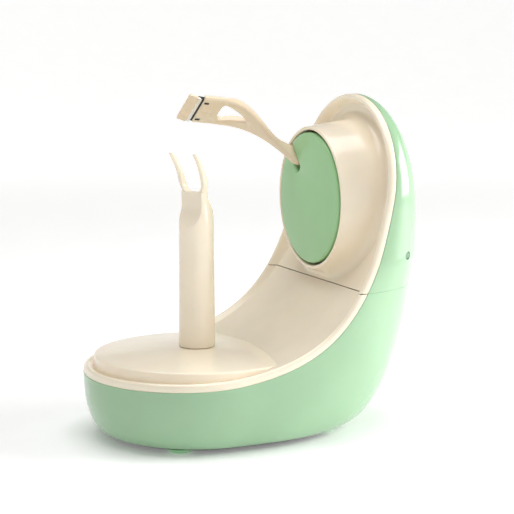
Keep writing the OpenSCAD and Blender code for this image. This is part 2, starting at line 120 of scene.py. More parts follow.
def spline(knots: Array, count: int) -> Array:
    """A Catmull-Rom curve: each span blends its four nearest knots with cubic weights.

    Args:
        knots: Points that the curve passes through, one row each.
        count: How many points to return, the same distance apart.
    Returns:
        The points along the curve.
    """
    ends = np.vstack([2 * knots[0] - knots[1], knots, 2 * knots[-1] - knots[-2]])
    just_short = 1.0001
    t = np.linspace(0.0, len(knots) - just_short, 40 * len(knots))
    k = t.astype(int)
    u = (t - k)[:, None]
    a, b, c, d = ends[k], ends[k + 1], ends[k + 2], ends[k + 3]
    curve = 0.5 * (2 * b + (c - a) * u + (2 * a - 5 * b + 4 * c - d) * u**2
                   + (3 * b - a - 3 * c + d) * u**3)
    return resample(curve, count)


def unit(vectors: Array) -> Array:
    """Vectors divided by their own lengths."""
    return vectors / np.maximum(np.linalg.norm(vectors, axis=-1, keepdims=True), 1e-12)


def revolve(profile: Array, turns: Array) -> Array:
    """A profile of radius and height carried round Z.

    Args:
        profile: Radius and height of each profile point, one row each.
        turns: Angles in radians.
    Returns:
        A grid of points: radius times cosine, radius times sine, height.
    """
    r, z = profile[:, 0][:, None], profile[:, 1][:, None]
    return np.stack([r * np.cos(turns), r * np.sin(turns), z + 0 * turns], axis=-1)


def circle(count: int) -> Array:
    """Angles round a full circle, without the last one."""
    return np.linspace(0.0, 2 * math.pi, count, endpoint=False)


def round_box(size: tuple[float, float, float], power: float = 0.25, rows: int = 24) -> Array:
    """A superellipsoid: cosines and sines of two angles, each raised to a small power.

    Args:
        size: Full width along each axis.
        power: 1 gives an ellipsoid, and less gives flatter faces and tighter edges.
        rows: Rows of the grid.
    Returns:
        A grid of points about the origin, closed round its columns.
    """
    tilt = np.linspace(-math.pi / 2, math.pi / 2, rows)[:, None]
    turn = circle(2 * rows)[None, :]
    level = signed_power(np.cos(tilt), power)
    grid = np.stack([level * signed_power(np.cos(turn), power),
                     level * signed_power(np.sin(turn), power),
                     signed_power(np.sin(tilt), power) + 0 * turn], axis=-1)
    return grid * (np.array(size) / 2)


def arc_points(centre: tuple[float, float], radius: float, start: float, end: float,
               count: int) -> Array:
    """Points round an arc in a plane, with its angles in degrees."""
    a = np.radians(np.linspace(start, end, count))
    return np.stack([centre[0] + radius * np.cos(a), centre[1] + radius * np.sin(a)], axis=1)


# ---- Meshes ---------------------------------------------------------------------------------------
class Draft:
    """Vertices and faces that are gathered before they become one mesh."""

    def __init__(self) -> None:
        """Start with nothing."""
        self.points: list[Array] = []
        self.faces: list[list[int]] = []
        self.count = 0

    def grid(self, points: Array, wrap: bool = False, wrap_rows: bool = False,
             skip: Array | None = None) -> "Draft":
        """Add a grid of points with a face between each four.

        Args:
            points: Grid of points, rows by columns by three.
            wrap: Whether the last column joins the first.
            wrap_rows: Whether the last row joins the first.
            skip: A row and column mask of points. A face whose four points are all in it is left out.
        Returns:
            This draft.
        """
        rows, columns = points.shape[:2]
        index = np.arange(rows * columns).reshape(rows, columns) + self.count
        if wrap:
            index = np.concatenate([index, index[:, :1]], axis=1)
        if wrap_rows:
            index = np.concatenate([index, index[:1]], axis=0)
        quads = np.stack([index[:-1, :-1], index[:-1, 1:], index[1:, 1:], index[1:, :-1]], axis=-1)
        quads = quads.reshape(-1, 4)
        if skip is not None:
            quads = quads[~skip.reshape(-1)[quads - self.count].all(axis=1)]
        self.points.append(points.reshape(-1, 3))
        self.faces += quads.tolist()
        self.count += rows * columns
        return self

    def cap(self, ring: Array) -> "Draft":
        """Add one flat face through a ring of points.

        Args:
            ring: The face's corners in order.
        Returns:
            This draft.
        """
        self.points.append(ring)
        self.faces.append(list(range(self.count, self.count + len(ring))))
        self.count += len(ring)
        return self

    def mesh(self, name: str, shift: Array, closed: bool = True) -> bpy.types.Mesh:
        """Make the mesh, with doubled points merged and its faces turned outwards.

        Args:
            name: Name of the mesh.
            shift: Where the draft's own origin lies in the frame.
            closed: Whether the shape is closed. An open one is turned by its signed volume.
        Returns:
            The mesh.
        """
        mesh = bpy.data.meshes.new(name)
        mesh.from_pydata((np.concatenate(self.points) + shift).tolist(), [], self.faces)
        work = bmesh.new()
        work.from_mesh(mesh)
        bmesh.ops.remove_doubles(work, verts=work.verts, dist=WELD)
        bmesh.ops.dissolve_degenerate(work, edges=work.edges, dist=SLIVER)
        if closed:
            bmesh.ops.recalc_face_normals(work, faces=work.faces)
        elif work.calc_volume(signed=True) < 0:
            bmesh.ops.reverse_faces(work, faces=work.faces)
        work.to_mesh(mesh)
        work.free()
        return mesh


def baked(piece: bpy.types.Object) -> None:
    """Put a piece's modifiers into its mesh and clear them.

    Args:
        piece: The piece, which keeps its name and place.
    """
    graph = bpy.context.evaluated_depsgraph_get()
    mesh = bpy.data.meshes.new_from_object(piece.evaluated_get(graph))
    piece.modifiers.clear()
    piece.data = mesh


def thicken(piece: bpy.types.Object, wall: float, inwards: bool = True) -> None:
    """Give a surface a wall.

    Args:
        piece: The piece, whose mesh is an open surface.
        wall: Thickness of the wall.
        inwards: Whether all of the wall lies on the inner side, or half on each side.
    """
    wall_maker = piece.modifiers.new("wall", "SOLIDIFY")
    wall_maker.thickness = wall
    wall_maker.offset = -1.0 if inwards else 0.0
    wall_maker.use_even_offset = True
    baked(piece)


def soften(piece: bpy.types.Object, width: float, steps: int = 2, angle: float = 40.0) -> None:
    """Round a piece's sharp edges.

    Args:
        piece: The piece.
        width: How far from the edge the rounding starts.
        steps: How many flats make up the rounding.
        angle: An edge is sharp where its faces turn by more than this, in degrees.
    """
    edge = piece.modifiers.new("edges", "BEVEL")
    edge.width = width
    edge.segments = steps
    edge.limit_method = "ANGLE"
    edge.angle_limit = math.radians(angle)
    edge.harden_normals = False
    baked(piece)


def drill(piece: bpy.types.Object, cutter_mesh: bpy.types.Mesh) -> None:
    """Cut a hole through a piece.

    Args:
        piece: The piece.
        cutter_mesh: A closed mesh of the hole's shape, in the piece's own place.
    """
    cutter = bpy.data.objects.new("cutter", cutter_mesh)
    bpy.context.scene.collection.objects.link(cutter)
    cut = piece.modifiers.new("hole", "BOOLEAN")
    cut.operation = "DIFFERENCE"
    cut.solver = "EXACT"
    cut.object = cutter
    baked(piece)
    bpy.data.objects.remove(cutter)


def cut_level(mesh: bpy.types.Mesh, height: float, keep_above: bool) -> bpy.types.Mesh:
    """Cut a mesh level.

    Args:
        mesh: The mesh, which stays as it is.
        height: Height of the cut.
        keep_above: Whether the part above the cut stays, or the part below it.
    Returns:
        A new mesh of the part that stays.
    """
    work = bmesh.new()
    work.from_mesh(mesh)
    everything = work.verts[:] + work.edges[:] + work.faces[:]
    bmesh.ops.bisect_plane(work, geom=everything, dist=1e-7, plane_co=(0, 0, height),
                           plane_no=(0, 0, 1), clear_inner=keep_above, clear_outer=not keep_above)
    result = bpy.data.meshes.new(mesh.name + "_cut")
    work.to_mesh(result)
    work.free()
    return result


def put(name: str, mesh: bpy.types.Mesh) -> bpy.types.Object:
    """Put a mesh in the scene.

    Args:
        name: Name of the piece.
        mesh: Its mesh, in the frame's own axes.
    Returns:
        The piece, at the origin.
    """
    piece = bpy.data.objects.new(name, mesh)
    bpy.context.scene.collection.objects.link(piece)
    return piece


# ---- Finishes -----------------------------------------------------------------------------------
COAT_ROUGHNESS = 0.06
SCATTER_DEPTH = 2.0 * MM
BROAD_PATCHES = (26.0, 3.0)
SMALL_PATCHES = (140.0, 4.0)
FINE_DETAIL = 2.0
BUMP_DEPTH = 0.2 * MM
DULL_AND_SHINY = (0.82, 1.2)
# Painted edge highlight: the bend range that picks sharp outward edges, and how much lighter they are
# painted
SHARP_BEND = (0.54, 0.72)
EDGE_HIGHLIGHT_LIGHTER = 1.25
GLOW_RISES = (0.25, 2.0)
GLOW_SHARE_NEAR = 0.25


class Grain(Enum):
    """How the fine surface of a material is marked, as a stretch of its noise along each axis."""

    MOULDED = (1, 1, 1)
    BRUSHED = (1, 0.03, 0.03)
    RUBBED = (1, 1, 0.35)


@dataclass(frozen=True)
class Finish:
    """One procedural material.

    The colour wanders slightly over broad patches, the roughness over small ones, and a bump gives
    the fine surface. Sharp outward edges are painted lighter as a painted highlight, found from how sharply
    the surface bends.
    """

    name: str
    colour: tuple[float, float, float]
    roughness: float = 0.28
    metallic: float = 0.0
    coat: float = 0.0
    subsurface: float = 0.0
    grain: Grain = Grain.MOULDED
    bump: float = 0.04
    grain_size: float = 900.0
    drift: float = 0.035
    # how much lighter sharp outward edges are painted, as a painted edge highlight
    edge_highlight: float = 0.10
    glow: float = 0.0

    def shade(self, factor: float) -> tuple[float, float, float, float]:
        """The colour multiplied by a factor, with no part above 1."""
        return (*(min(1.0, part * factor) for part in self.colour), 1.0)

    def build(self) -> bpy.types.Material:
        """Make the node material.

        Returns:
            The material, with its nodes in place.
        """
        material = bpy.data.materials.new(self.name)
        material.use_nodes = True
        tree = material.node_tree
        shader = tree.nodes["Principled BSDF"]
        shader.inputs["Metallic"].default_value = self.metallic
        shader.inputs["Coat Weight"].default_value = self.coat
        shader.inputs["Coat Roughness"].default_value = COAT_ROUGHNESS
        shader.inputs["Subsurface Weight"].default_value = self.subsurface
        shader.inputs["Subsurface Scale"].default_value = SCATTER_DEPTH
        place = tree.nodes.new("ShaderNodeTexCoord").outputs["Object"]
        broad = self.noise(tree, place, *BROAD_PATCHES)
        colour = self.ramp(tree, broad, self.shade(1.0 - self.drift), self.shade(1.0 + self.drift))
        shader_colour = self.paint_edge_highlight(tree, colour)
        tree.links.new(shader_colour, shader.inputs["Base Color"])
        patches = self.noise(tree, place, *SMALL_PATCHES)
        rough = tree.nodes.new("ShaderNodeMapRange")
        rough.inputs["To Min"].default_value = self.roughness * DULL_AND_SHINY[0]
        rough.inputs["To Max"].default_value = self.roughness * DULL_AND_SHINY[1]
        tree.links.new(patches, rough.inputs["Value"])
        tree.links.new(rough.outputs["Result"], shader.inputs["Roughness"])
        self.surface(tree, place, shader)
        if self.glow:
            self.shine(tree, place, shader)
        return material

    def shine(self, tree: bpy.types.NodeTree, place: bpy.types.NodeSocket,
              shader: bpy.types.ShaderNode) -> None:
        """Let the surface glow, faintly near the middle and fully further out.

        Args:
            tree: The material's nodes.
            place: The object's own coordinates.
            shader: The material's shader.
        """
        far = tree.nodes.new("ShaderNodeVectorMath")
        far.operation = "LENGTH"
        tree.links.new(place, far.inputs[0])
        rise = tree.nodes.new("ShaderNodeMapRange")
        rise.inputs["From Min"].default_value = GLOW_RISES[0]
        rise.inputs["From Max"].default_value = GLOW_RISES[1]
        rise.inputs["To Min"].default_value = GLOW_SHARE_NEAR * self.glow
        rise.inputs["To Max"].default_value = self.glow
        tree.links.new(far.outputs["Value"], rise.inputs["Value"])
        shader.inputs["Emission Color"].default_value = (1.0, 1.0, 1.0, 1.0)
        tree.links.new(rise.outputs["Result"], shader.inputs["Emission Strength"])

    def noise(self, tree: bpy.types.NodeTree, place: bpy.types.NodeSocket, scale: float,
              detail: float) -> bpy.types.NodeSocket:
        """Add a noise.

        Args:
            tree: The material's nodes.
            place: The coordinates that it is read at.
            scale: How many marks there are in a metre.
            detail: How many finer layers it has.
        Returns:
            The noise, as a value.
        """
        node = tree.nodes.new("ShaderNodeTexNoise")
        node.inputs["Scale"].default_value = scale
        node.inputs["Detail"].default_value = detail
        tree.links.new(place, node.inputs["Vector"])
        return node.outputs["Fac"]

    def ramp(self, tree: bpy.types.NodeTree, value: bpy.types.NodeSocket,
             low: tuple[float, ...], high: tuple[float, ...]) -> bpy.types.NodeSocket:
        """Add a colour between two.

        Args:
            tree: The material's nodes.
            value: What chooses between them.
            low: The colour at a low value.
            high: The colour at a high one.
        Returns:
            The colour.
        """
        node = tree.nodes.new("ShaderNodeValToRGB")
        node.color_ramp.elements[0].position = 0.3
        node.color_ramp.elements[0].color = low
        node.color_ramp.elements[1].position = 0.7
        node.color_ramp.elements[1].color = high
        tree.links.new(value, node.inputs["Fac"])
        return node.outputs["Color"]

    def paint_edge_highlight(self, tree: bpy.types.NodeTree, colour: bpy.types.NodeSocket) -> bpy.types.NodeSocket:
        """Paint a highlight on edges: lighten a colour where the surface bends out sharply.

        Args:
            tree: The material's nodes.
            colour: The colour elsewhere.
        Returns:
            The colour with its painted edge highlight.
        """
        highlight_mask = tree.nodes.new("ShaderNodeMapRange")
        highlight_mask.inputs["From Min"].default_value = SHARP_BEND[0]
        highlight_mask.inputs["From Max"].default_value = SHARP_BEND[1]
        highlight_mask.inputs["To Max"].default_value = self.edge_highlight
        bend = tree.nodes.new("ShaderNodeNewGeometry").outputs["Pointiness"]
        tree.links.new(bend, highlight_mask.inputs["Value"])
        # painted highlight: the lighter colour is mixed in at sharp outward edges
        mix = tree.nodes.new("ShaderNodeMixRGB")
        mix.inputs["Color2"].default_value = self.shade(EDGE_HIGHLIGHT_LIGHTER)
        tree.links.new(highlight_mask.outputs["Result"], mix.inputs["Fac"])
        tree.links.new(colour, mix.inputs["Color1"])
        return mix.outputs["Color"]

    def surface(self, tree: bpy.types.NodeTree, place: bpy.types.NodeSocket,
                shader: bpy.types.ShaderNode) -> None:
        """Add the fine bump: even pits, long brush lines, or rubbed cloudy marks.

        Args:
            tree: The material's nodes.
            place: The object's own coordinates.
            shader: The material's shader.
        """
        stretch = tree.nodes.new("ShaderNodeMapping")
        stretch.inputs["Scale"].default_value = self.grain.value
        tree.links.new(place, stretch.inputs["Vector"])
        fine = self.noise(tree, stretch.outputs["Vector"], self.grain_size, FINE_DETAIL)
        bump = tree.nodes.new("ShaderNodeBump")
        bump.inputs["Strength"].default_value = self.bump
        bump.inputs["Distance"].default_value = BUMP_DEPTH
        tree.links.new(fine, bump.inputs["Height"])
        tree.links.new(bump.outputs["Normal"], shader.inputs["Normal"])


FINISHES = {
    "shell_green": Finish("mint_gloss", (0.315, 0.505, 0.31), 0.22, coat=0.35, subsurface=0.06, bump=0.02),
    "liner_cream": Finish("cream_gloss", (0.90, 0.80, 0.64), 0.24, coat=0.25, subsurface=0.10, bump=0.025),
    "disc_green": Finish("mint_satin", (0.30, 0.57, 0.27), 0.30, coat=0.15, subsurface=0.05, bump=0.03),
    # painted shade: the arm is the liner's cream, darkened and warmed to the shaded tone that it shows
    "arm_cream": Finish("arm_cream_shaded_gloss", (0.74, 0.61, 0.44), 0.26, coat=0.2, subsurface=0.10, bump=0.03),
    "blade_steel": Finish("ground_steel", (0.78, 0.79, 0.80), 0.20, 1.0, grain=Grain.BRUSHED, bump=0.15),
    "carrier_black": Finish("black_moulded", (0.012, 0.012, 0.013), 0.45, bump=0.08),
    "gear_white": Finish("white_nylon", (0.80, 0.79, 0.74), 0.42, subsurface=0.1, bump=0.06),
    "bright_steel": Finish("turned_steel", (0.62, 0.63, 0.64), 0.26, 1.0, grain=Grain.BRUSHED, bump=0.12),
    "bush_bronze": Finish("sintered_bronze", (0.60, 0.38, 0.16), 0.40, 1.0, bump=0.2, grain_size=1500.0),
    "motor_can": Finish("plated_can", (0.50, 0.52, 0.53), 0.32, 1.0, grain=Grain.RUBBED, bump=0.08),
    "frame_black": Finish("black_frame", (0.02, 0.021, 0.022), 0.50, bump=0.10),
    "base_grey": Finish("grey_moulded", (0.075, 0.08, 0.08), 0.55, bump=0.18, grain_size=1300.0),
    "foot_mint": Finish("mint_rubber", (0.36, 0.66, 0.38), 0.50, grain=Grain.RUBBED, bump=0.10),
    "board_green": Finish("solder_resist", (0.02, 0.13, 0.05), 0.35, bump=0.05),
    "battery_blue": Finish("shrink_sleeve", (0.03, 0.12, 0.35), 0.30, bump=0.06),
    "button_green": Finish("button_mint", (0.38, 0.70, 0.40), 0.28, coat=0.2, bump=0.03),
    "screw_green": Finish("painted_screw", (0.30, 0.44, 0.32), 0.40, grain=Grain.RUBBED, bump=0.08),
    "screw_steel": Finish("zinc_plate", (0.46, 0.48, 0.48), 0.30, 1.0, grain=Grain.RUBBED, bump=0.1),
}


SHADED_SHARP = math.radians(38)


class Wardrobe:
    """Makes each finish once, and dresses pieces in it."""

    def __init__(self) -> None:
        """Start with no material made."""
        self.made: dict[str, bpy.types.Material] = {}

    def get(self, slot: str) -> bpy.types.Material:
        """Find the material of a slot, and make it when it is first asked for.

        Args:
            slot: A key of FINISHES.
        Returns:
            The material.
        """
        if slot not in self.made:
            self.made[slot] = FINISHES[slot].build()
        return self.made[slot]

    def dress(self, piece: bpy.types.Object, slot: str, body: str, *nodes: str) -> None:
        """Finish a piece, and tie it to the frame.

        Args:
            piece: The piece, with its mesh in place.
            slot: The record's slot that it takes its finish from.
            body: The CAD body that it moves with.
            nodes: The CAD nodes that it stands for.
        """
        piece.data.materials.clear()
        piece.data.materials.append(self.get(slot))
        piece.data.polygons.foreach_set("use_smooth", np.ones(len(piece.data.polygons), bool))
        piece.data.set_sharp_from_angle(angle=SHADED_SHARP)
        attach(piece, body)
        if nodes:
            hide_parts(*nodes)
        log.info("%s: %d faces on %s", piece.name, len(piece.data.polygons), body)


# ---- The body's own curves ------------------------------------------------------------------------
@dataclass
class BodyShape:
    """The curves that the shells and liners share, measured from the fork's axis.

    Seen from the side, the rim is a superellipse that rises from over the fork's axis, and the back
    is a quarter ellipse under a fuller one. Level sections are a superelliptic rear, straight sides
    and a round front.
    """

    post: Array
    drum_z: float
    seam_z: float
    back_reach: float
    tray_r: float = 72 * MM
    tray_z: float = 43 * MM
    foot_z: float = 3 * MM
    head_r: float = 66.8 * MM
    panel_x: float = 113.3 * MM
    rim_reach: float = 205.8 * MM
    rim_rise: float = 311 * MM
    rim_power: float = 4.2
    belly_z: float = 110 * MM
    heel_x: float = 95 * MM
    crown_x: float = 112 * MM
    sole_r: float = 57 * MM
    sole_x: float = 15 * MM
    waist_z: float = 60 * MM
    waist_run: float = 75 * MM
    waist_power: float = 1.6
    crown_power: float = 1.7
    side_power: float = 2.2
    sink_depth: float = 4.6 * MM
    sink_from: float = 66 * MM
    sink_to: float = 120 * MM
    droop: float = 2.7 * MM
    droop_length: float = 22 * MM
    bead_h: float = 4.8 * MM
    bead_foot: float = 7.6 * MM

    @property
    def rim_low(self) -> float:
        """Height of the rim's superellipse at its lowest."""
        share = (self.rim_reach - self.panel_x) / self.rim_reach
        return self.tray_z - self.rim_rise * (1 - float(superellipse(np.array(share), self.rim_power)))

    def rim_x(self, z: Array) -> Array:
        """Where the rim is at a height: a superellipse read sideways."""
        v = (self.rim_low + self.rim_rise - z) / self.rim_rise
        return self.panel_x - self.rim_reach + self.rim_reach * superellipse(v, self.rim_power)

    def rim_z(self, x: Array) -> Array:
        """How high the rim is at a distance from the fork's axis: a superellipse."""
        v = (x - self.panel_x + self.rim_reach) / self.rim_reach
        return self.rim_low + self.rim_rise * (1 - superellipse(v, self.rim_power))

    def drop(self, x: Array) -> Array:
        """How far the rim droops in front of the fork's axis: one less an exponential."""
        return self.droop * (1 - np.exp(np.minimum(x, 0.0) / self.droop_length))

    def back_x(self, z: Array) -> Array:
        """The back: a quarter ellipse under its furthest point, a fuller one above.

        Args:
            z: Heights.
        Returns:
            How far the back is from the fork's axis at each.
        """
        low = np.sqrt(np.clip(1 - ((self.belly_z - z) / (self.belly_z - self.foot_z)) ** 2, 0, 1))
        top = self.drum_z + self.head_r
        share = np.clip((z - self.belly_z) / (top - self.belly_z), 0, 1)
        high = np.sqrt(np.clip(1 - share**self.crown_power, 0, 1))
        return np.where(z < self.belly_z, self.heel_x + (self.back_reach - self.heel_x) * low,
                        self.crown_x + (self.back_reach - self.crown_x) * high)

    def half_width(self, z: Array) -> Array:
        """Half the width: a turned-in edge, an even waist, a cosine neck, a round head.

        Args:
            z: Heights.
        Returns:
            Half the body's width at each.
        """
        corner = self.sole_r + (self.tray_r - self.sole_r) * superellipse(
            (self.tray_z - z) / (self.tray_z - self.foot_z), self.side_power)
        swing = (1 + np.cos(math.pi * (z - self.waist_z) / (self.drum_z - self.waist_z))) / 2
        neck = self.head_r + (self.tray_r - self.head_r) * swing
        head = np.sqrt(np.clip(self.head_r**2 - (z - self.drum_z) ** 2, 0, 1))
        return np.select([z < self.tray_z, z < self.waist_z, z < self.drum_z],
                         [corner, self.tray_r + 0 * z, neck], head)

    def waist_x(self, z: Array) -> Array:
        """Where the straight side ends and the rounded rear begins: a power of the height.

        Args:
            z: Heights.
        Returns:
            How far that is from the fork's axis at each.
        """
        rise = np.clip((z - self.foot_z) / (self.belly_z - self.foot_z), 0, 1)
        low = self.sole_x + self.waist_run * rise**self.waist_power
        return np.where(z < self.belly_z, low, self.rim_x(z))

    def side_y(self, x: Array, z: Array) -> Array:
        """Half width of the body at a point seen from the side."""
        share = (x - self.waist_x(z)) / np.maximum(self.back_x(z) - self.waist_x(z), 1e-6)
        return self.half_width(z) * superellipse(share, self.side_power)

    def rear_arc(self, z: float, count: int, start: float | None = None) -> Array:
        """A level section from one side, round the back, to the other side.

        Args:
            z: Height of the section.
            count: How many points to return, the same distance apart.
            start: Where the section starts along X, or None for the rim.
        Returns:
            The points, from +Y to -Y.
        """
        height = np.array(z)
        x0 = float(self.rim_x(height)) if start is None else start
        xw, x1, w = float(self.waist_x(height)), float(self.back_x(height)), float(self.half_width(height))
        edge = min(max((x0 - xw) / max(x1 - xw, 1e-6), 0.0), 1.0)
        a = np.linspace(math.acos(edge ** (self.side_power / 2)), 0.0, 160)
        curve = np.stack([xw + (x1 - xw) * np.cos(a) ** (2 / self.side_power),
                          w * np.sin(a) ** (2 / self.side_power)], axis=1)
        if x0 < xw:
            curve = np.vstack([[x0, w], curve])
        half = resample(curve, count // 2 + 1)
        whole = np.vstack([half, half[-2::-1] * [1, -1]])
        return np.column_stack([whole, np.full(len(whole), z)])

    def front_arc(self, radius: float, z: float, count: int) -> Array:
        """A level half circle round the front, drooping with the rim.

        Args:
            radius: Its radius.
            z: Its height.
            count: How many points to return.
        Returns:
            The points, from -Y to +Y.
        """
        a = np.linspace(-math.pi / 2, -1.5 * math.pi, count)
        x, y = radius * np.cos(a), radius * np.sin(a)
        share = (z - self.foot_z) / (self.tray_z - self.foot_z)
        return np.stack([x, y, z - self.drop(x) * share], axis=1)

    def outline(self, count: int = 360) -> tuple[Array, Array, Array]:
        """The closed rim, round the tray, up one side, over the head and down the other.

        Args:
            count: How many points go round.
        Returns:
            The points, the direction towards the fruit side of the rim's surface, and the inward one.
        """
        a = np.linspace(math.pi, math.pi / 2, 60, endpoint=False)
        front = np.stack([self.tray_r * np.cos(a), self.tray_r * np.sin(a), 0 * a], axis=1)
        front[:, 2] = self.tray_z - self.drop(front[:, 0])
        z = self.climb(200)
        side = np.stack([self.rim_x(z), self.side_y(self.rim_x(z), z), z], axis=1)
        b = np.linspace(0, math.pi / 2, 80)
        z = self.drum_z + self.head_r * np.sin(b)
        arch = np.stack([self.rim_x(z), self.head_r * np.cos(b), z], axis=1)
        half = resample(np.vstack([front, side, arch]), count // 2 + 1)
        loop = np.vstack([half, half[-2:0:-1] * [1, -1, 1]])
        slope = self.slope(loop[:, 0])
        up = unit(np.stack([-slope, 0 * slope, 1 + 0 * slope], axis=1))
        along = unit(np.roll(loop, -1, axis=0) - np.roll(loop, 1, axis=0))
        inward = unit(np.cross(along, up))
        return loop, up, inward

    def slope(self, x: Array) -> Array:
        """Rise of the rim over its run, from heights a little before and after."""
        step = 0.05 * MM
        return (self.edge_z(x + step) - self.edge_z(x - step)) / (2 * step)

    def edge_z(self, x: Array) -> Array:
        """Height of the rim: drooping in front of the fork's axis, a superellipse behind it."""
        return np.where(x < 0, self.tray_z - self.drop(x), self.rim_z(np.maximum(x, 0)))

    def sink(self, z: Array) -> Array:
        """How much deeper the liner lies under its bead in the head than in the tray."""
        return self.sink_depth * smooth(self.sink_from, self.sink_to, z)

    def climb(self, count: int, power: float = 1.6, endpoint: bool = False) -> Array:
        """Heights from the tray's rim to the drum's axis, closer together near the tray.

        Args:
            count: How many heights to return.
            power: How much closer they are near the tray.
            endpoint: Whether the drum's axis is the last of them.
        Returns:
            The heights.
        """
        steps = np.linspace(0, 1, count, endpoint=endpoint) ** power
        return self.tray_z + (self.drum_z - self.tray_z) * steps


# ---- Sub-assemblies -------------------------------------------------------------------------------
@dataclass
class Shells:
    """The mint-green base and head shells, parted by a level seam."""

    shape: BodyShape
    wardrobe: Wardrobe
    wall: float = 2.2 * MM
    seam_gap: float = 0.07 * MM
    columns: int = 120
    edge: float = 0.35 * MM
    screw_at: tuple[float, float, float] = (117 * MM, 62 * MM, 114 * MM)
    screw_recess: float = 2.6 * MM
    screw_depth: float = 16 * MM
    button_at: tuple[float, float, float] = (132 * MM, 0.0, 52 * MM)
    button_hole: float = 8.3 * MM
    button_depth: float = 20 * MM
    socket_at: tuple[float, float, float] = (118 * MM, 0.0, 22 * MM)
    socket_hole: tuple[float, float, float] = (20 * MM, 9.8 * MM, 4.0 * MM)

    def surface(self) -> bpy.types.Mesh:
        """The whole outer surface: closed rings under the rim's front, and open arcs above it.

        Returns:
            The open mesh, which reaches from the sole to the top of the head.
        """
        s = self.shape
        turned = np.sin(np.linspace(0, math.pi / 2, 22)) ** 1.6
        low = s.foot_z + (s.tray_z - s.foot_z) * turned
        rear = np.stack([s.rear_arc(z, self.columns, start=0.0) for z in low])
        front = np.stack([s.front_arc(float(s.half_width(np.array(z))), z, 60) for z in low])
        climb = s.climb(60, 1.5, endpoint=True)
        arch = s.drum_z + s.head_r * np.sin(np.linspace(0, math.pi / 2, 34))[1:]
        high = np.stack([s.rear_arc(float(z), self.columns) for z in np.concatenate([climb, arch])])
        high[-1, :, 1] = 0.0
        draft = Draft().grid(rear).grid(front).grid(high)
        return draft.mesh("body_surface", s.post, closed=False)

    def build(self) -> None:
        """Make both shells, with the holes for the screws, the button and the socket."""
        s = self.shape
        whole = self.surface()
        base = put("base_shell", cut_level(whole, s.seam_z - self.seam_gap, keep_above=False))
        head = put("head_shell", cut_level(whole, s.seam_z + self.seam_gap, keep_above=True))
        for piece in (base, head):
            thicken(piece, self.wall)
        screw_x, screw_y, screw_z = self.screw_at
        for side in (-1, 1):
            place = (screw_x, side * screw_y, screw_z)
            drill(head, self.rod(place, "Y", self.screw_recess, self.screw_depth))
        drill(base, self.rod(self.button_at, "X", self.button_hole, self.button_depth))
        socket = Draft().grid(round_box(self.socket_hole, 0.3) + self.socket_at, wrap=True)
        drill(base, socket.mesh("slot", s.post))
        for piece in (base, head):
            soften(piece, self.edge, 2, 50)
        self.wardrobe.dress(base, "shell_green", "root", "base_shell")
        self.wardrobe.dress(head, "shell_green", "root", "head_shell")

    def rod(self, centre: tuple[float, float, float], axis: str, radius: float,
            length: float) -> bpy.types.Mesh:
        """A round cutter: a circle carried along an axis, with flat ends.

        Args:
            centre: Its middle, measured from the fork's axis.
            axis: X or Y.
            radius: Its radius.
            length: Its length.
        Returns:
            The closed mesh.
        """
        ends = np.array([[0, -length / 2], [radius, -length / 2], [radius, length / 2], [0, length / 2]])
        grid = revolve(ends, circle(40))
        order = [2, 0, 1] if axis == "X" else [0, 2, 1]
        return Draft().grid(grid[..., order] + centre, wrap=True).mesh("rod", self.shape.post)


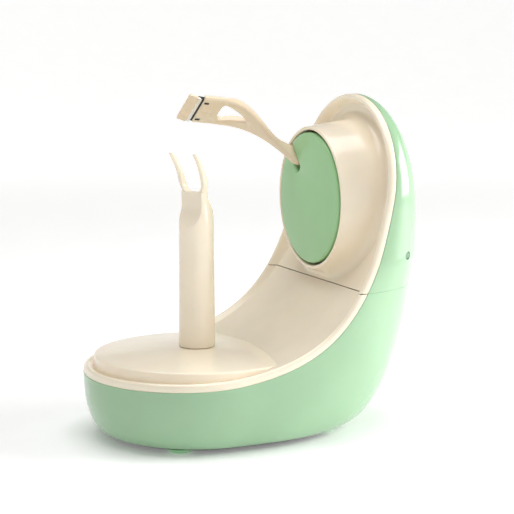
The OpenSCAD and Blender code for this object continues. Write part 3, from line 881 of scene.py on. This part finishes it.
@dataclass
class Liners:
    """The cream tray, ramp and panel with their rolled rim, and the domed deck."""

    shape: BodyShape
    wardrobe: Wardrobe
    deck_z: float
    deck_r: float = 65.3 * MM
    dome: float = 3.7 * MM
    wall: float = 1.8 * MM
    rim_wall: float = 0.9 * MM
    seam_gap: float = 0.26 * MM
    plate_h: float = 2.4 * MM
    plate_inset: float = 4.5 * MM
    crest: float = 2.5 * MM
    roll_start: float = 0.15 * MM
    edge: float = 0.25 * MM

    def bead(self) -> Draft:
        """The rolled rim: a rounded profile carried round the outline.

        The profile rises beside the shell, turns over in a superellipse, and runs down to the plate
        along half a cosine wave.

        Returns:
            The band, closed round its columns.
        """
        s = self.shape
        loop, up, inward = s.outline()
        floor = self.plate_h - s.sink(loop[:, 2])
        t = np.linspace(0, math.pi / 2, 9)
        roll_d = self.roll_start + (self.crest - self.roll_start) * (1 - np.cos(t) ** 0.9)
        roll_h = s.bead_h * (0.24 + 0.76 * np.sin(t) ** 0.8)
        d = np.concatenate([[1.2 * MM, 0.3 * MM], roll_d])
        h = np.concatenate([[-0.8 * MM, 0.12 * MM], roll_h])
        fall = np.linspace(0, 1, 12)[1:]
        fall_d = self.crest + (s.bead_foot - self.crest) * fall
        depth = s.bead_h - floor[:, None]
        fall_h = s.bead_h - depth * (1 - np.cos(math.pi * fall)) / 2
        d_all = np.concatenate([d, fall_d])[None, :] + 0 * depth
        h_all = np.concatenate([h[None, :] + 0 * depth, fall_h], axis=1)
        last = np.stack([d_all[:, -1] + 0.5 * MM, h_all[:, -1] - 0.15 * MM], axis=1)
        d_all = np.concatenate([d_all, last[:, :1]], axis=1)
        h_all = np.concatenate([h_all, last[:, 1:]], axis=1)
        band = (loop[:, None, :] + d_all[..., None] * inward[:, None, :]
                + h_all[..., None] * up[:, None, :])
        return Draft().grid(band, wrap_rows=True)

    def plate(self) -> Draft:
        """The ramp and panel: a curve seen from the side, ruled straight across under the bead.

        Returns:
            The open sheet, which has no opening behind the drum.
        """
        s = self.shape
        inset = self.plate_inset
        a = np.linspace(math.pi, math.pi / 2, 24, endpoint=False)
        x = (s.tray_r - inset) * np.cos(a)
        w = (s.tray_r - inset) * np.sin(a)
        z = s.tray_z - s.drop(x)
        climb = s.climb(90)
        b = np.linspace(0, math.pi / 2, 40)
        arch = s.drum_z + (s.head_r - inset) * np.sin(b)
        x = np.concatenate([x, s.rim_x(climb), s.rim_x(arch)])
        z = np.concatenate([z, climb, arch])
        w = np.concatenate([w, s.side_y(s.rim_x(climb), climb) - inset, (s.head_r - inset) * np.cos(b)])
        slope = s.slope(x)
        up = unit(np.stack([-slope, 1 + 0 * slope], axis=1))
        h = self.plate_h - s.sink(z)
        across = np.linspace(-1, 1, 33)
        grid = np.stack([(x + h * up[:, 0])[:, None] + 0 * across, w[:, None] * across,
                         (z + h * up[:, 1])[:, None] + 0 * across], axis=-1)
        return Draft().grid(grid)

    def deck(self) -> Draft:
        """The domed deck: an arc from the middle, a rounded shoulder, a wall and a hollow foot.

        Returns:
            The closed shape, turned round the fork's axis.
        """
        r, z = self.deck_r, self.deck_z
        ball = (r**2 + self.dome**2) / (2 * self.dome)
        rr = np.linspace(0, r - 2.0 * MM, 14)
        crown = np.stack([rr, z - ball + np.sqrt(ball**2 - rr**2)], axis=1)
        edge = float(crown[-1, 1])
        shoulder = arc_points((r - 1.4 * MM, edge - 1.5 * MM), 1.4 * MM, 84, 0, 7)
        low = self.shape.tray_z + self.plate_h
        foot = arc_points((r + 1.7 * MM, low + 1.35 * MM), 1.5 * MM, 180, 265, 6)
        under = np.array([[r + 2.2 * MM, low - 3.4 * MM], [r - 2.5 * MM, low - 3.4 * MM],
                          [r - 3.2 * MM, edge - 3.5 * MM], [0.0, z - 2.6 * MM]])
        profile = np.vstack([crown, shoulder, foot, under])
        grid = revolve(profile, circle(180))
        lowered = smooth(edge - 2.5 * MM, low, grid[..., 2])
        grid[..., 2] -= self.shape.drop(grid[..., 0]) * lowered
        return Draft().grid(grid, wrap=True)

    def build(self) -> None:
        """Make the deck, and the base and head parts of the ruled plate and its bead."""
        s = self.shape
        bead = self.bead().mesh("bead", s.post, closed=False)
        plate = self.plate().mesh("plate", s.post, closed=False)
        for name, above, node in (("base", False, "base_liner"), ("head", True, "head_liner")):
            gap = self.seam_gap if above else -self.seam_gap
            for part, mesh in (("rim", bead), ("face", plate)):
                piece = put(f"{name}_liner_{part}", cut_level(mesh, s.seam_z + gap, keep_above=above))
                self.face_fruit(piece)
                thicken(piece, self.wall if part == "face" else self.rim_wall)
                soften(piece, self.edge, 2, 60)
                self.wardrobe.dress(piece, "liner_cream", "root", *([node] if part == "face" else []))
        deck = put("tray_deck", self.deck().mesh("tray_deck", s.post))
        self.wardrobe.dress(deck, "liner_cream", "root")

    def face_fruit(self, piece: bpy.types.Object) -> None:
        """Turn an open sheet's faces up and towards the tray.

        Args:
            piece: The sheet.
        """
        mesh = piece.data
        normals = np.empty(len(mesh.polygons) * 3)
        mesh.polygons.foreach_get("normal", normals)
        lean = normals.reshape(-1, 3) @ np.array([-0.7, 0.0, 0.7])
        if lean.sum() < 0:
            mesh.flip_normals()


@dataclass
class Drum:
    """The cream drum: a lip, a cone, and a foot that flares into the panel."""

    shape: BodyShape
    wardrobe: Wardrobe
    front_x: float
    bore_r: float = 43.8 * MM
    mouth_r: float = 46.2 * MM
    root_r: float = 51.0 * MM
    flare: float = 5.5 * MM
    lip: float = 1.1 * MM
    back_x: float = 99 * MM
    sunk: float = 2.4 * MM
    seam_clear: float = 1.6 * MM
    flare_least: float = 2.2 * MM
    flare_reach: float = 7.0 * MM

    def panel_x(self, r: Array, cos: Array) -> Array:
        """Where the panel is, at a radius from the drum's axis and the cosine of the angle round it."""
        z = self.shape.drum_z + r * cos
        return self.shape.rim_x(z) - (self.sunk - self.shape.sink(z))

    def build(self) -> None:
        """Carry the profile round the drum's axis, with its foot on the panel at each angle.

        The foot is a quadratic Bezier curve from the cone to the panel.
        """
        s = self.shape
        turn = circle(200)
        cos, sin = np.cos(turn), np.sin(turn)
        lowest = (s.drum_z - s.seam_z - self.seam_clear) / np.maximum(-cos, 0.05)
        foot_r = np.minimum(self.root_r + self.flare, lowest)
        root_r = np.minimum(self.root_r, foot_r - self.flare_least)
        root_x, foot_x = self.panel_x(root_r, cos), self.panel_x(foot_r, cos)
        reach = np.minimum(self.flare_reach, 0.6 * (root_x - self.front_x))
        rows = [(0 * turn + self.back_x, 0 * turn + self.bore_r)]
        inner = arc_points((self.front_x + self.lip, self.bore_r + self.lip), self.lip, 270, 180, 5)
        outer = arc_points((self.front_x + self.lip, self.mouth_r - self.lip), self.lip, 180, 100, 6)
        rows += [(0 * turn + x, 0 * turn + r) for x, r in np.vstack([inner, outer])]
        start_x, start_r = outer[-1]
        share_end = 1 - reach / (root_x - start_x)
        for t in np.linspace(0, 1, 14)[1:]:
            rows.append((start_x + (root_x - start_x) * share_end * t,
                         start_r + (root_r - start_r) * share_end * t))
        from_x, from_r = rows[-1]
        for t in np.linspace(0, 1, 12)[1:]:
            rows.append(((1 - t) ** 2 * from_x + 2 * t * (1 - t) * root_x + t**2 * (foot_x + 0.05 * MM),
                         (1 - t) ** 2 * from_r + 2 * t * (1 - t) * root_r + t**2 * foot_r))
        rows.append((foot_x + 1.6 * MM, foot_r - 0.6 * MM))
        rows.append((root_x + 2.0 * MM, 0 * turn + self.bore_r + 2.6 * MM))
        back = np.maximum(self.back_x, root_x + 3 * MM)
        rows.append((back, 0 * turn + self.bore_r + 1.6 * MM))
        rows.append((back, 0 * turn + self.bore_r))
        grid = np.stack([np.stack([x, r * sin, s.drum_z + r * cos], axis=-1) for x, r in rows])
        draft = Draft().grid(grid, wrap=True, wrap_rows=True)
        piece = put("drum_housing", draft.mesh("drum_housing", s.post))
        self.wardrobe.dress(piece, "liner_cream", "root", "drum_housing")


@dataclass
class ArmPlane:
    """The plane through the drum's axis that the blade arm lies in."""

    post: Array
    drum_z: float
    turn: float

    def place(self, x: Array, r: Array, w: Array) -> Array:
        """Points from the plane's own measures.

        Args:
            x: Distance along the drum's axis.
            r: Radius from the axis, in the plane.
            w: Distance across the plane.
        Returns:
            The points, measured from the fork's axis.
        """
        sin, cos = math.sin(self.turn), math.cos(self.turn)
        return np.stack([x + 0 * r + 0 * w, r * sin + w * cos + 0 * x,
                         self.drum_z + r * cos - w * sin + 0 * x], axis=-1)


@dataclass
class FaceDisc:
    """The mint-green turning disc, with the slot that the arm comes out of."""

    plane: ArmPlane
    wardrobe: Wardrobe
    front_x: float
    radius: float = 42.3 * MM
    thick: float = 4 * MM
    slot_half: float = 3.05 * MM
    slot_in: float = 22.3 * MM
    slot_mid: float = 32 * MM
    end_r: float = 1.9 * MM
    mouth_r: float = 1.7 * MM
    mouth_in: float = 1.2 * MM
    mouth_back: float = 1.1 * MM
    edge: float = 1.3 * MM

    def outline(self) -> Array:
        """The disc's edge, round the rim, down the slot, round its end and up again.

        Returns:
            One closed line of distance across the arm's plane and radius along it.
        """
        gap = math.degrees(math.asin((self.slot_half + self.edge) / self.radius))
        rim = arc_points((0.0, 0.0), self.radius, 90 - gap, -270 + gap, 170)
        side, turn = self.slot_half, self.end_r
        mouth = self.radius - self.mouth_in - self.mouth_back
        left = arc_points((-side - self.mouth_r, mouth), self.mouth_r, 60, 0, 7)
        end = np.vstack([arc_points((turn - side, self.slot_in + turn), turn, 180, 270, 8),
                         arc_points((side - turn, self.slot_in + turn), turn, 270, 360, 8)])
        right = arc_points((side + self.mouth_r, mouth), self.mouth_r, 180, 120, 7)
        return np.vstack([rim, left, [[-side, self.slot_mid]], end, [[side, self.slot_mid]], right])

    def build(self) -> None:
        """Round the outline's edge in rows, close both faces, and put the disc in its plane."""
        line = self.outline()
        step = np.roll(line, -1, axis=0) - np.roll(line, 1, axis=0)
        normal = unit(np.stack([step[:, 1], -step[:, 0]], axis=1))
        if (normal[:150] * line[:150]).sum() < 0:
            normal = -normal
        a = np.linspace(0, math.pi / 2, 6)
        inset = self.edge * (1 - np.sin(a))
        depth = self.edge * (1 - np.cos(a))
        rings = [line - normal * d for d in inset] + [line]
        levels = [*depth, self.thick]
        grid = np.stack([self.plane.place(self.front_x + x, ring[:, 1], ring[:, 0])
                         for ring, x in zip(rings, levels)])
        draft = Draft().grid(grid, wrap=True).cap(grid[0]).cap(grid[-1])
        piece = put("face_disc", draft.mesh("face_disc", self.plane.post))
        self.wardrobe.dress(piece, "disc_green", "rotor", "face_disc")


@dataclass
class BladeArm:
    """The swinging arm: a bent Y-shaped band with a window, a blade strip and its guard."""

    plane: ArmPlane
    wardrobe: Wardrobe
    skew: float = 0.11
    pivot: tuple[float, float] = (87.5 * MM, 26 * MM)
    stem_half: float = 2.6
    swell: float = 9.9
    window_half: float = 8.9 * MM

    def edges(self, count: int) -> tuple[Array, Array]:
        """The band's outer and inner edges, from the fin in the disc to the head.

        Args:
            count: How many points to return along each.
        Returns:
            Both edges, as distance along the drum's axis and radius. A point of one faces the other's.
        """
        outer = np.array([[84, 41], [77.8, 42.0], [74.2, 44.4], [68.6, 49.0], [61.3, 59.6], [54.7, 67.8],
                          [46.9, 73.2], [37.5, 74.6], [29.3, 76.0], [21.4, 76.9]]) * MM
        inner = np.array([[84, 27.4], [77.8, 28.2], [72.4, 35.8], [64.6, 46.6], [57.7, 56.8], [51.1, 63.8],
                          [44.2, 68.0], [36.5, 70.4], [28.7, 71.8], [20.9, 72.8]]) * MM
        both = spline(np.hstack([outer, inner]), count)
        return both[:, :2], both[:, 2:]

    def band(self) -> Draft:
        """Two bars that share their middle walls except round the window, laid between the edges.

        The half width swells from the stem to the head along a smooth step. The window's half width
        grows as a power of the distance from its tip, and closes on a superellipse. Each section is
        a rectangle with an arc at each corner.

        Returns:
            The closed band.
        """
        rows = 170
        outer_edge, inner_edge = self.edges(rows)
        t = np.linspace(0, 1, rows)
        half = (self.stem_half + self.swell * smooth(0.20, 0.80, t)) * MM
        u = np.clip((t - 0.562) / 0.262, 0, 1)
        window = self.window_half * u**0.8 * superellipse(np.clip((u - 0.76) / 0.24, 0, 1), 2.4)
        window = np.where(window < 0.25 * MM, 0.0, window)[:, None]
        end = superellipse(np.clip((t - 0.975) / 0.025, 0, 1), 2.0)
        across = outer_edge - inner_edge
        deep = (np.linalg.norm(across, axis=1) / 2 * (0.6 + 0.4 * end))[:, None]
        wide = (half - 0.7 * MM * (1 - end))[:, None]
        outer = np.minimum(1.7 * MM, 0.8 * deep)
        inner = np.minimum(np.minimum(1.3 * MM, 0.8 * deep), window)
        a = np.linspace(0, math.pi / 2, 6)[None, :]
        w = np.concatenate([wide - outer + outer * np.sin(a), wide - outer + outer * np.cos(a),
                            window + inner - inner * np.sin(a), window + inner - inner * np.cos(a)], axis=1)
        h = np.concatenate([deep - outer + outer * np.cos(a), outer - deep - outer * np.sin(a),
                            inner - deep - inner * np.cos(a), deep - inner + inner * np.sin(a)], axis=1)
        middle, out = (outer_edge + inner_edge) / 2, unit(across)
        x = middle[:, :1] + h * out[:, :1]
        r = middle[:, 1:] + h * out[:, 1:]
        draft = Draft()
        lean = self.skew * smooth(0.75, 1.0, t)[:, None]
        for side in (-1, 1):
            grid = self.plane.place(x - side * lean * w, r, side * w)
            draft.grid(grid, wrap=True, skip=w == 0.0).cap(grid[0]).cap(grid[-1])
        return draft

    def build(self) -> None:
        """Make the band, its pivot boss, the dark bar and slots, the blade and the guard."""
        band = put("arm_frame", self.band().mesh("arm_frame", self.plane.post))
        self.wardrobe.dress(band, "arm_cream", "arm", "arm_frame")
        self.bar("blade_guard", (6.8, 24.0, 2.0), (14.3, 75.9), 27, "arm_cream", "blade_guard")
        self.bar("blade", (2.4, 23.6, 1.0), (18.0, 74.0), 28, "blade_steel", "blade")
        self.bar("blade_carrier", (4.4, 22.6, 2.2), (19.2, 75.2), 16, "carrier_black", "blade_carrier")
        for side, name in ((-1, "blade_tab_a"), (1, "blade_tab_b")):
            self.bar(name, (3.0, 1.4, 1.0), (23.4, 72.6), 8, "carrier_black", None, side * 8.2)
        half = np.array([[0, -2.6], [3.9, -2.6], [4.2, -2.2], [4.2, 2.2], [3.9, 2.6], [0, 2.6]]) * MM
        boss = revolve(half, circle(48))
        grid = self.plane.place(self.pivot[0] + boss[..., 0], self.pivot[1] + boss[..., 1], boss[..., 2])
        piece = put("arm_boss", Draft().grid(grid, wrap=True).mesh("arm_boss", self.plane.post))
        self.wardrobe.dress(piece, "arm_cream", "arm")

    def bar(self, name: str, size: tuple[float, float, float], centre: tuple[float, float],
            tilt: float, slot: str, node: str | None, shift: float = 0.0) -> None:
        """A rounded bar across the arm's head.

        Args:
            name: Name of the piece.
            size: Its length along the arm, its width and its thickness, in millimetres.
            centre: Its distance along the drum's axis and its radius, in millimetres.
            tilt: How far its front is raised, in degrees.
            slot: Its finish.
            node: The CAD node that it stands for, if there is one.
            shift: How far it lies to the side, in millimetres.
        """
        box = round_box(size, 0.16) * MM
        a = math.radians(tilt)
        w = shift * MM + box[..., 1]
        x = centre[0] * MM + box[..., 0] * math.cos(a) + box[..., 2] * math.sin(a) - self.skew * w
        r = centre[1] * MM - box[..., 0] * math.sin(a) + box[..., 2] * math.cos(a)
        grid = self.plane.place(x, r, w)
        piece = put(name, Draft().grid(grid, wrap=True).mesh(name, self.plane.post))
        self.wardrobe.dress(piece, slot, "arm", *([node] if node else []))


@dataclass
class Fork:
    """The post with its scooped top, and the two curved prongs."""

    shape: BodyShape
    wardrobe: Wardrobe
    base_z: float
    top_z: float
    turn: float = math.radians(23)
    radius: float = 11.5 * MM
    taper: float = 0.5 * MM
    foot_edge: float = 0.5 * MM
    scoop_z: float = 75.5 * MM
    scoop_h: float = 15 * MM
    scoop_depth: float = 7.4 * MM
    back_depth: float = 9.9 * MM
    narrowing: float = 0.135
    prong_z: float = 96.6 * MM
    prong_power: float = 0.72

    def turned(self, x: Array, y: Array, z: Array) -> Array:
        """Points turned about the post's axis to the way that the fork faces."""
        cos, sin = math.cos(self.turn), math.sin(self.turn)
        return np.stack([x * cos - y * sin, x * sin + y * cos, z], axis=-1)

    def column(self) -> Array:
        """The post: circles that the scoop in front and the taper behind cut to a flat plate.

        Returns:
            A grid of closed sections, from the deck up to the root of the prongs.
        """
        z = np.concatenate([[0.25, 0.6, 1.2], np.linspace(3, 70, 12), np.linspace(71, 98.4, 56)]) * MM
        z = (z + self.base_z)[:, None]
        local = z - self.base_z
        r = self.radius - self.taper * smooth(0, 76 * MM, local)
        r = r - self.foot_edge * np.exp(-local / self.foot_edge)
        a = circle(96)[None, :]
        scoop = 1 - (1 - np.clip((local - self.scoop_z) / self.scoop_h, 0, 1)) ** 1.9
        front = self.radius - self.scoop_depth * scoop
        back = self.radius - self.back_depth * smooth(80 * MM, 95 * MM, local)
        wide = 1 - self.narrowing * smooth(79 * MM, 91 * MM, local)
        x = np.clip(r * np.cos(a), -front, back)
        y = r * np.sin(a) * wide
        return self.turned(x - 0.4 * MM * smooth(90 * MM, 98 * MM, local), y, z + 0 * a)

    def prong(self, side: int) -> Array:
        """One prong: rounded sections between two lines, leaning forward as they rise.

        The inner line is a quarter ellipse at its foot and a smooth step above it, and the outer one
        is two smooth steps. The lean is a power of the height.

        Args:
            side: 1 or -1.
        Returns:
            A grid of closed sections.
        """
        t = np.linspace(0, 1, 60) ** 1.15
        foot = self.base_z + self.prong_z
        z = foot + (self.top_z - foot) * t
        rise = (z - foot) / MM
        inner = 8.0 * superellipse(np.clip(1 - (rise - 1.2) / 6.0, 0, 1), 2.3) + 0.9 * smooth(9, 26, rise)
        inner = np.where(rise < 1.2, 0.0, inner)
        outer = 9.2 + 2.4 * smooth(0, 9, rise) + 0.6 * smooth(11, 27, rise)
        tip = superellipse(np.clip((rise - rise[-1] + 1.5) / 1.5, 0, 0.995), 2.0)
        middle, half = (inner + outer) / 2, np.maximum((outer - inner) / 2 * tip, 0.08)
        lean = -1.4 - 10.2 * (rise / rise[-1]) ** 1.85
        thick = (2.6 - 0.9 * smooth(0, 26, rise)) * tip
        a = circle(40)[None, :]
        depth = np.maximum(thick, 0.08)[:, None] * signed_power(np.cos(a), self.prong_power)
        x = lean[:, None] + depth
        y = side * middle[:, None] + half[:, None] * signed_power(np.sin(a), self.prong_power)
        return self.turned(x * MM, y * MM, z[:, None] + 0 * a)

    def build(self) -> None:
        """Make the post and both prongs as one piece."""
        draft = Draft()
        for grid in (self.column(), self.prong(1), self.prong(-1)):
            draft.grid(grid, wrap=True).cap(grid[0]).cap(grid[-1])
        piece = put("fork_post", draft.mesh("fork_post", self.shape.post))
        soften(piece, 0.5 * MM, 3, 45)
        self.wardrobe.dress(piece, "liner_cream", "fork", "fork_post")


@dataclass
class Underside:
    """The grey bottom plate and the four soft feet."""

    shape: BodyShape
    wardrobe: Wardrobe
    places: tuple[tuple[float, float], ...] = ((-28, 41.5), (-28, -41.5), (72, 32), (72, -32))
    middle_x: float = 20 * MM
    rings: tuple[tuple[float, float], ...] = (
        (2.6, 4.9), (2.6, 2.95), (0.9, 2.9), (0.7, 2.6), (0.9, 2.1),
        (1.5, 2.0), (7.0, 2.0), (7.5, 2.35), (9.0, 2.35), (9.5, 2.0))

    def build(self) -> None:
        """Make the plate as rings of the sole's own outline, and the feet as turned profiles.

        Each ring has how far it lies inside the outline and its height, in millimetres.
        """
        s = self.shape
        z = s.foot_z
        ring = np.vstack([s.rear_arc(z, 120, start=0.0), s.front_arc(s.sole_r, z, 61)[1:-1]])
        centre = np.array([self.middle_x, 0.0, 0.0])
        out = ring - centre
        reach = np.linalg.norm(out[:, :2], axis=1, keepdims=True)
        rows = []
        for inset, height in self.rings:
            level = centre + out * (1 - inset * MM / reach)
            rows.append(np.column_stack([level[:, :2], np.full(len(level), height * MM)]))
        grid = np.stack(rows)
        draft = Draft().grid(grid, wrap=True).cap(grid[0]).cap(grid[-1])
        plate = put("bottom_plate", draft.mesh("bottom_plate", s.post))
        self.wardrobe.dress(plate, "base_grey", "root", "bottom_plate")
        profile = np.vstack([[[0, 0]], arc_points((6.2, 0.9), 0.9, 270, 330, 5), [[7.9, 1.5]],
                             arc_points((7.7, 2.0), 0.5, 330, 420, 5), [[0, 2.45]]]) * MM
        draft = Draft()
        for x, y in self.places:
            draft.grid(revolve(profile, circle(56)) + [x * MM, y * MM, 0], wrap=True)
        feet = put("feet", draft.mesh("feet", s.post))
        self.wardrobe.dress(feet, "foot_mint", "root", "feet")


@dataclass
class PowerButton:
    """The round button low on the back, with a dished face."""

    shape: BodyShape
    wardrobe: Wardrobe
    centre_z: float
    face_x: float
    radius: float = 8 * MM

    def build(self) -> None:
        """Turn the button's profile about X: a dish, a rounded rim, a skirt and a stem."""
        profile = np.vstack([[[0.0, -0.9]], [[3.0, -0.82]], [[5.2, -0.45]],
                             arc_points((6.9, -1.0), 1.0, 110, 0, 7) + [0.1, 0.0],
                             [[8.0, -7.9], [3.0, -8.0], [3.0, -18.6], [0.0, -18.8]]]) * MM
        grid = revolve(profile, circle(72))[..., [2, 0, 1]] + [self.face_x, 0, self.centre_z]
        piece = put("power_button", Draft().grid(grid, wrap=True).mesh("power_button", self.shape.post))
        self.wardrobe.dress(piece, "button_green", "button", "power_button")


# ---- Light, floor and camera ------------------------------------------------------------------------
@dataclass
class Studio:
    """A pale floor, a bright room, and soft lights from the right, above and the front.

    Each lamp has a name, a place, the length of its side and its power in watts.
    """

    target: Vector
    distance: float = 0.962
    azimuth: float = -24.15
    elevation: float = 8.19
    lens: float = 105.06
    sensor: float = 36.0
    room_light: float = 0.25
    lamps: tuple[tuple[str, tuple[float, float, float], float, float], ...] = (
        ("key", (1.00, -0.40, 0.45), 0.7, 14.0),
        ("top", (-0.05, 0.05, 1.25), 1.0, 11.0),
        ("front_fill", (0.10, -1.15, 0.45), 0.8, 0.8))
    floor_r: float = 5.0
    floor_flat: float = 1.5
    floor_rise: float = 1.2
    floor_finish: Finish = Finish("pale_floor", (0.90, 0.90, 0.90), 0.6, bump=0.02, edge_highlight=0.0, glow=0.66)

    def build(self) -> None:
        """Make the floor, the world, the lights and the camera."""
        scene = bpy.context.scene
        scene.view_settings.view_transform = "Standard"
        self.floor()
        world = bpy.data.worlds.new("studio")
        world.use_nodes = True
        background = world.node_tree.nodes["Background"]
        background.inputs["Color"].default_value = (1.0, 0.985, 0.96, 1.0)
        background.inputs["Strength"].default_value = self.room_light
        scene.world = world
        for lamp in self.lamps:
            self.lamp(*lamp)
        camera = bpy.data.objects.new("camera", bpy.data.cameras.new("camera"))
        scene.collection.objects.link(camera)
        camera.data.lens = self.lens
        camera.data.sensor_width = self.sensor
        a, e = math.radians(self.azimuth), math.radians(self.elevation)
        back = Vector((math.sin(a) * math.cos(e), -math.cos(a) * math.cos(e), math.sin(e)))
        right = Vector((math.cos(a), math.sin(a), 0.0))
        turn = Matrix((right, back.cross(right), back)).transposed()
        camera.matrix_world = Matrix.Translation(self.target + back * self.distance) @ turn.to_4x4()
        scene.camera = camera

    def floor(self) -> None:
        """A pale floor, level round the object, that rises far out in a smooth step like a bowl."""
        out = np.linspace(0, 1, 40)[:, None] ** 1.3 * self.floor_r
        turn = circle(96)[None, :]
        rise = self.floor_rise * smooth(self.floor_flat, self.floor_r, out) ** 1.5
        grid = np.stack([out * np.cos(turn), out * np.sin(turn), rise - 0.2 * MM + 0 * turn], axis=-1)
        floor = put("floor", Draft().grid(grid, wrap=True).mesh("floor", np.zeros(3), closed=False))
        if floor.data.polygons[0].normal.z < 0:
            floor.data.flip_normals()
        floor.data.polygons.foreach_set("use_smooth", np.ones(len(floor.data.polygons), bool))
        floor.data.materials.append(self.floor_finish.build())

    def lamp(self, name: str, place: tuple[float, float, float], size: float, power: float) -> None:
        """A square soft light that faces the target.

        Args:
            name: Name of the light.
            place: Where it stands.
            size: Length of its side.
            power: Its power in watts.
        """
        data = bpy.data.lights.new(name, "AREA")
        data.size = size
        data.energy = power
        lamp = bpy.data.objects.new(name, data)
        bpy.context.scene.collection.objects.link(lamp)
        lamp.location = place
        lamp.rotation_euler = (Vector(place) - self.target).to_track_quat("Z", "Y").to_euler()


def dress_frame(frame: dict, wardrobe: Wardrobe) -> None:
    """Give every CAD node that stays its finish, by the record's slots.

    Args:
        wardrobe: The finishes.
    """
    for row in frame["record"]["subparts"]:
        node = frame["nodes"][row["node"]]
        node.data.materials.clear()
        node.data.materials.append(wardrobe.get(row["material_slot"]))


def joint_place(frame: dict, name: str) -> Vector:
    """The point that a joint of the frame turns about."""
    return Vector(next(joint for joint in frame["joints"] if joint["name"] == name)["pos_m"])


def main() -> None:
    """Load the frame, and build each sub-assembly round it."""
    logging.basicConfig(level=logging.INFO, format="%(message)s")
    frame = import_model()
    wardrobe = Wardrobe()
    dress_frame(frame, wardrobe)
    post_x = joint_place(frame, "fork_spin").x
    post = np.array([post_x, 0.0, 0.0])
    drum_z = joint_place(frame, "rotor_turn").z
    seam_z = (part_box("base_shell")[1].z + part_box("head_shell")[0].z) / 2
    disc_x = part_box("face_disc")[0].x - post_x
    shape = BodyShape(post, drum_z, seam_z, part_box("head_shell")[1].x - post_x)
    axis = next(joint for joint in frame["joints"] if joint["name"] == "arm_swing")["axis"]
    plane = ArmPlane(post, drum_z, math.atan2(-axis[2], axis[1]))
    Studio(Vector(CAMERA_TARGET)).build()
    Shells(shape, wardrobe).build()
    Liners(shape, wardrobe, DECK_Z).build()
    Drum(shape, wardrobe, disc_x + DRUM_SET_BACK).build()
    FaceDisc(plane, wardrobe, disc_x).build()
    BladeArm(plane, wardrobe).build()
    Fork(shape, wardrobe, DECK_Z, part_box("fork_post")[1].z).build()
    Underside(shape, wardrobe).build()
    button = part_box("power_button")
    PowerButton(shape, wardrobe, (button[0].z + button[1].z) / 2, button[1].x - post_x).build()


if __name__ == "__main__":
    main()
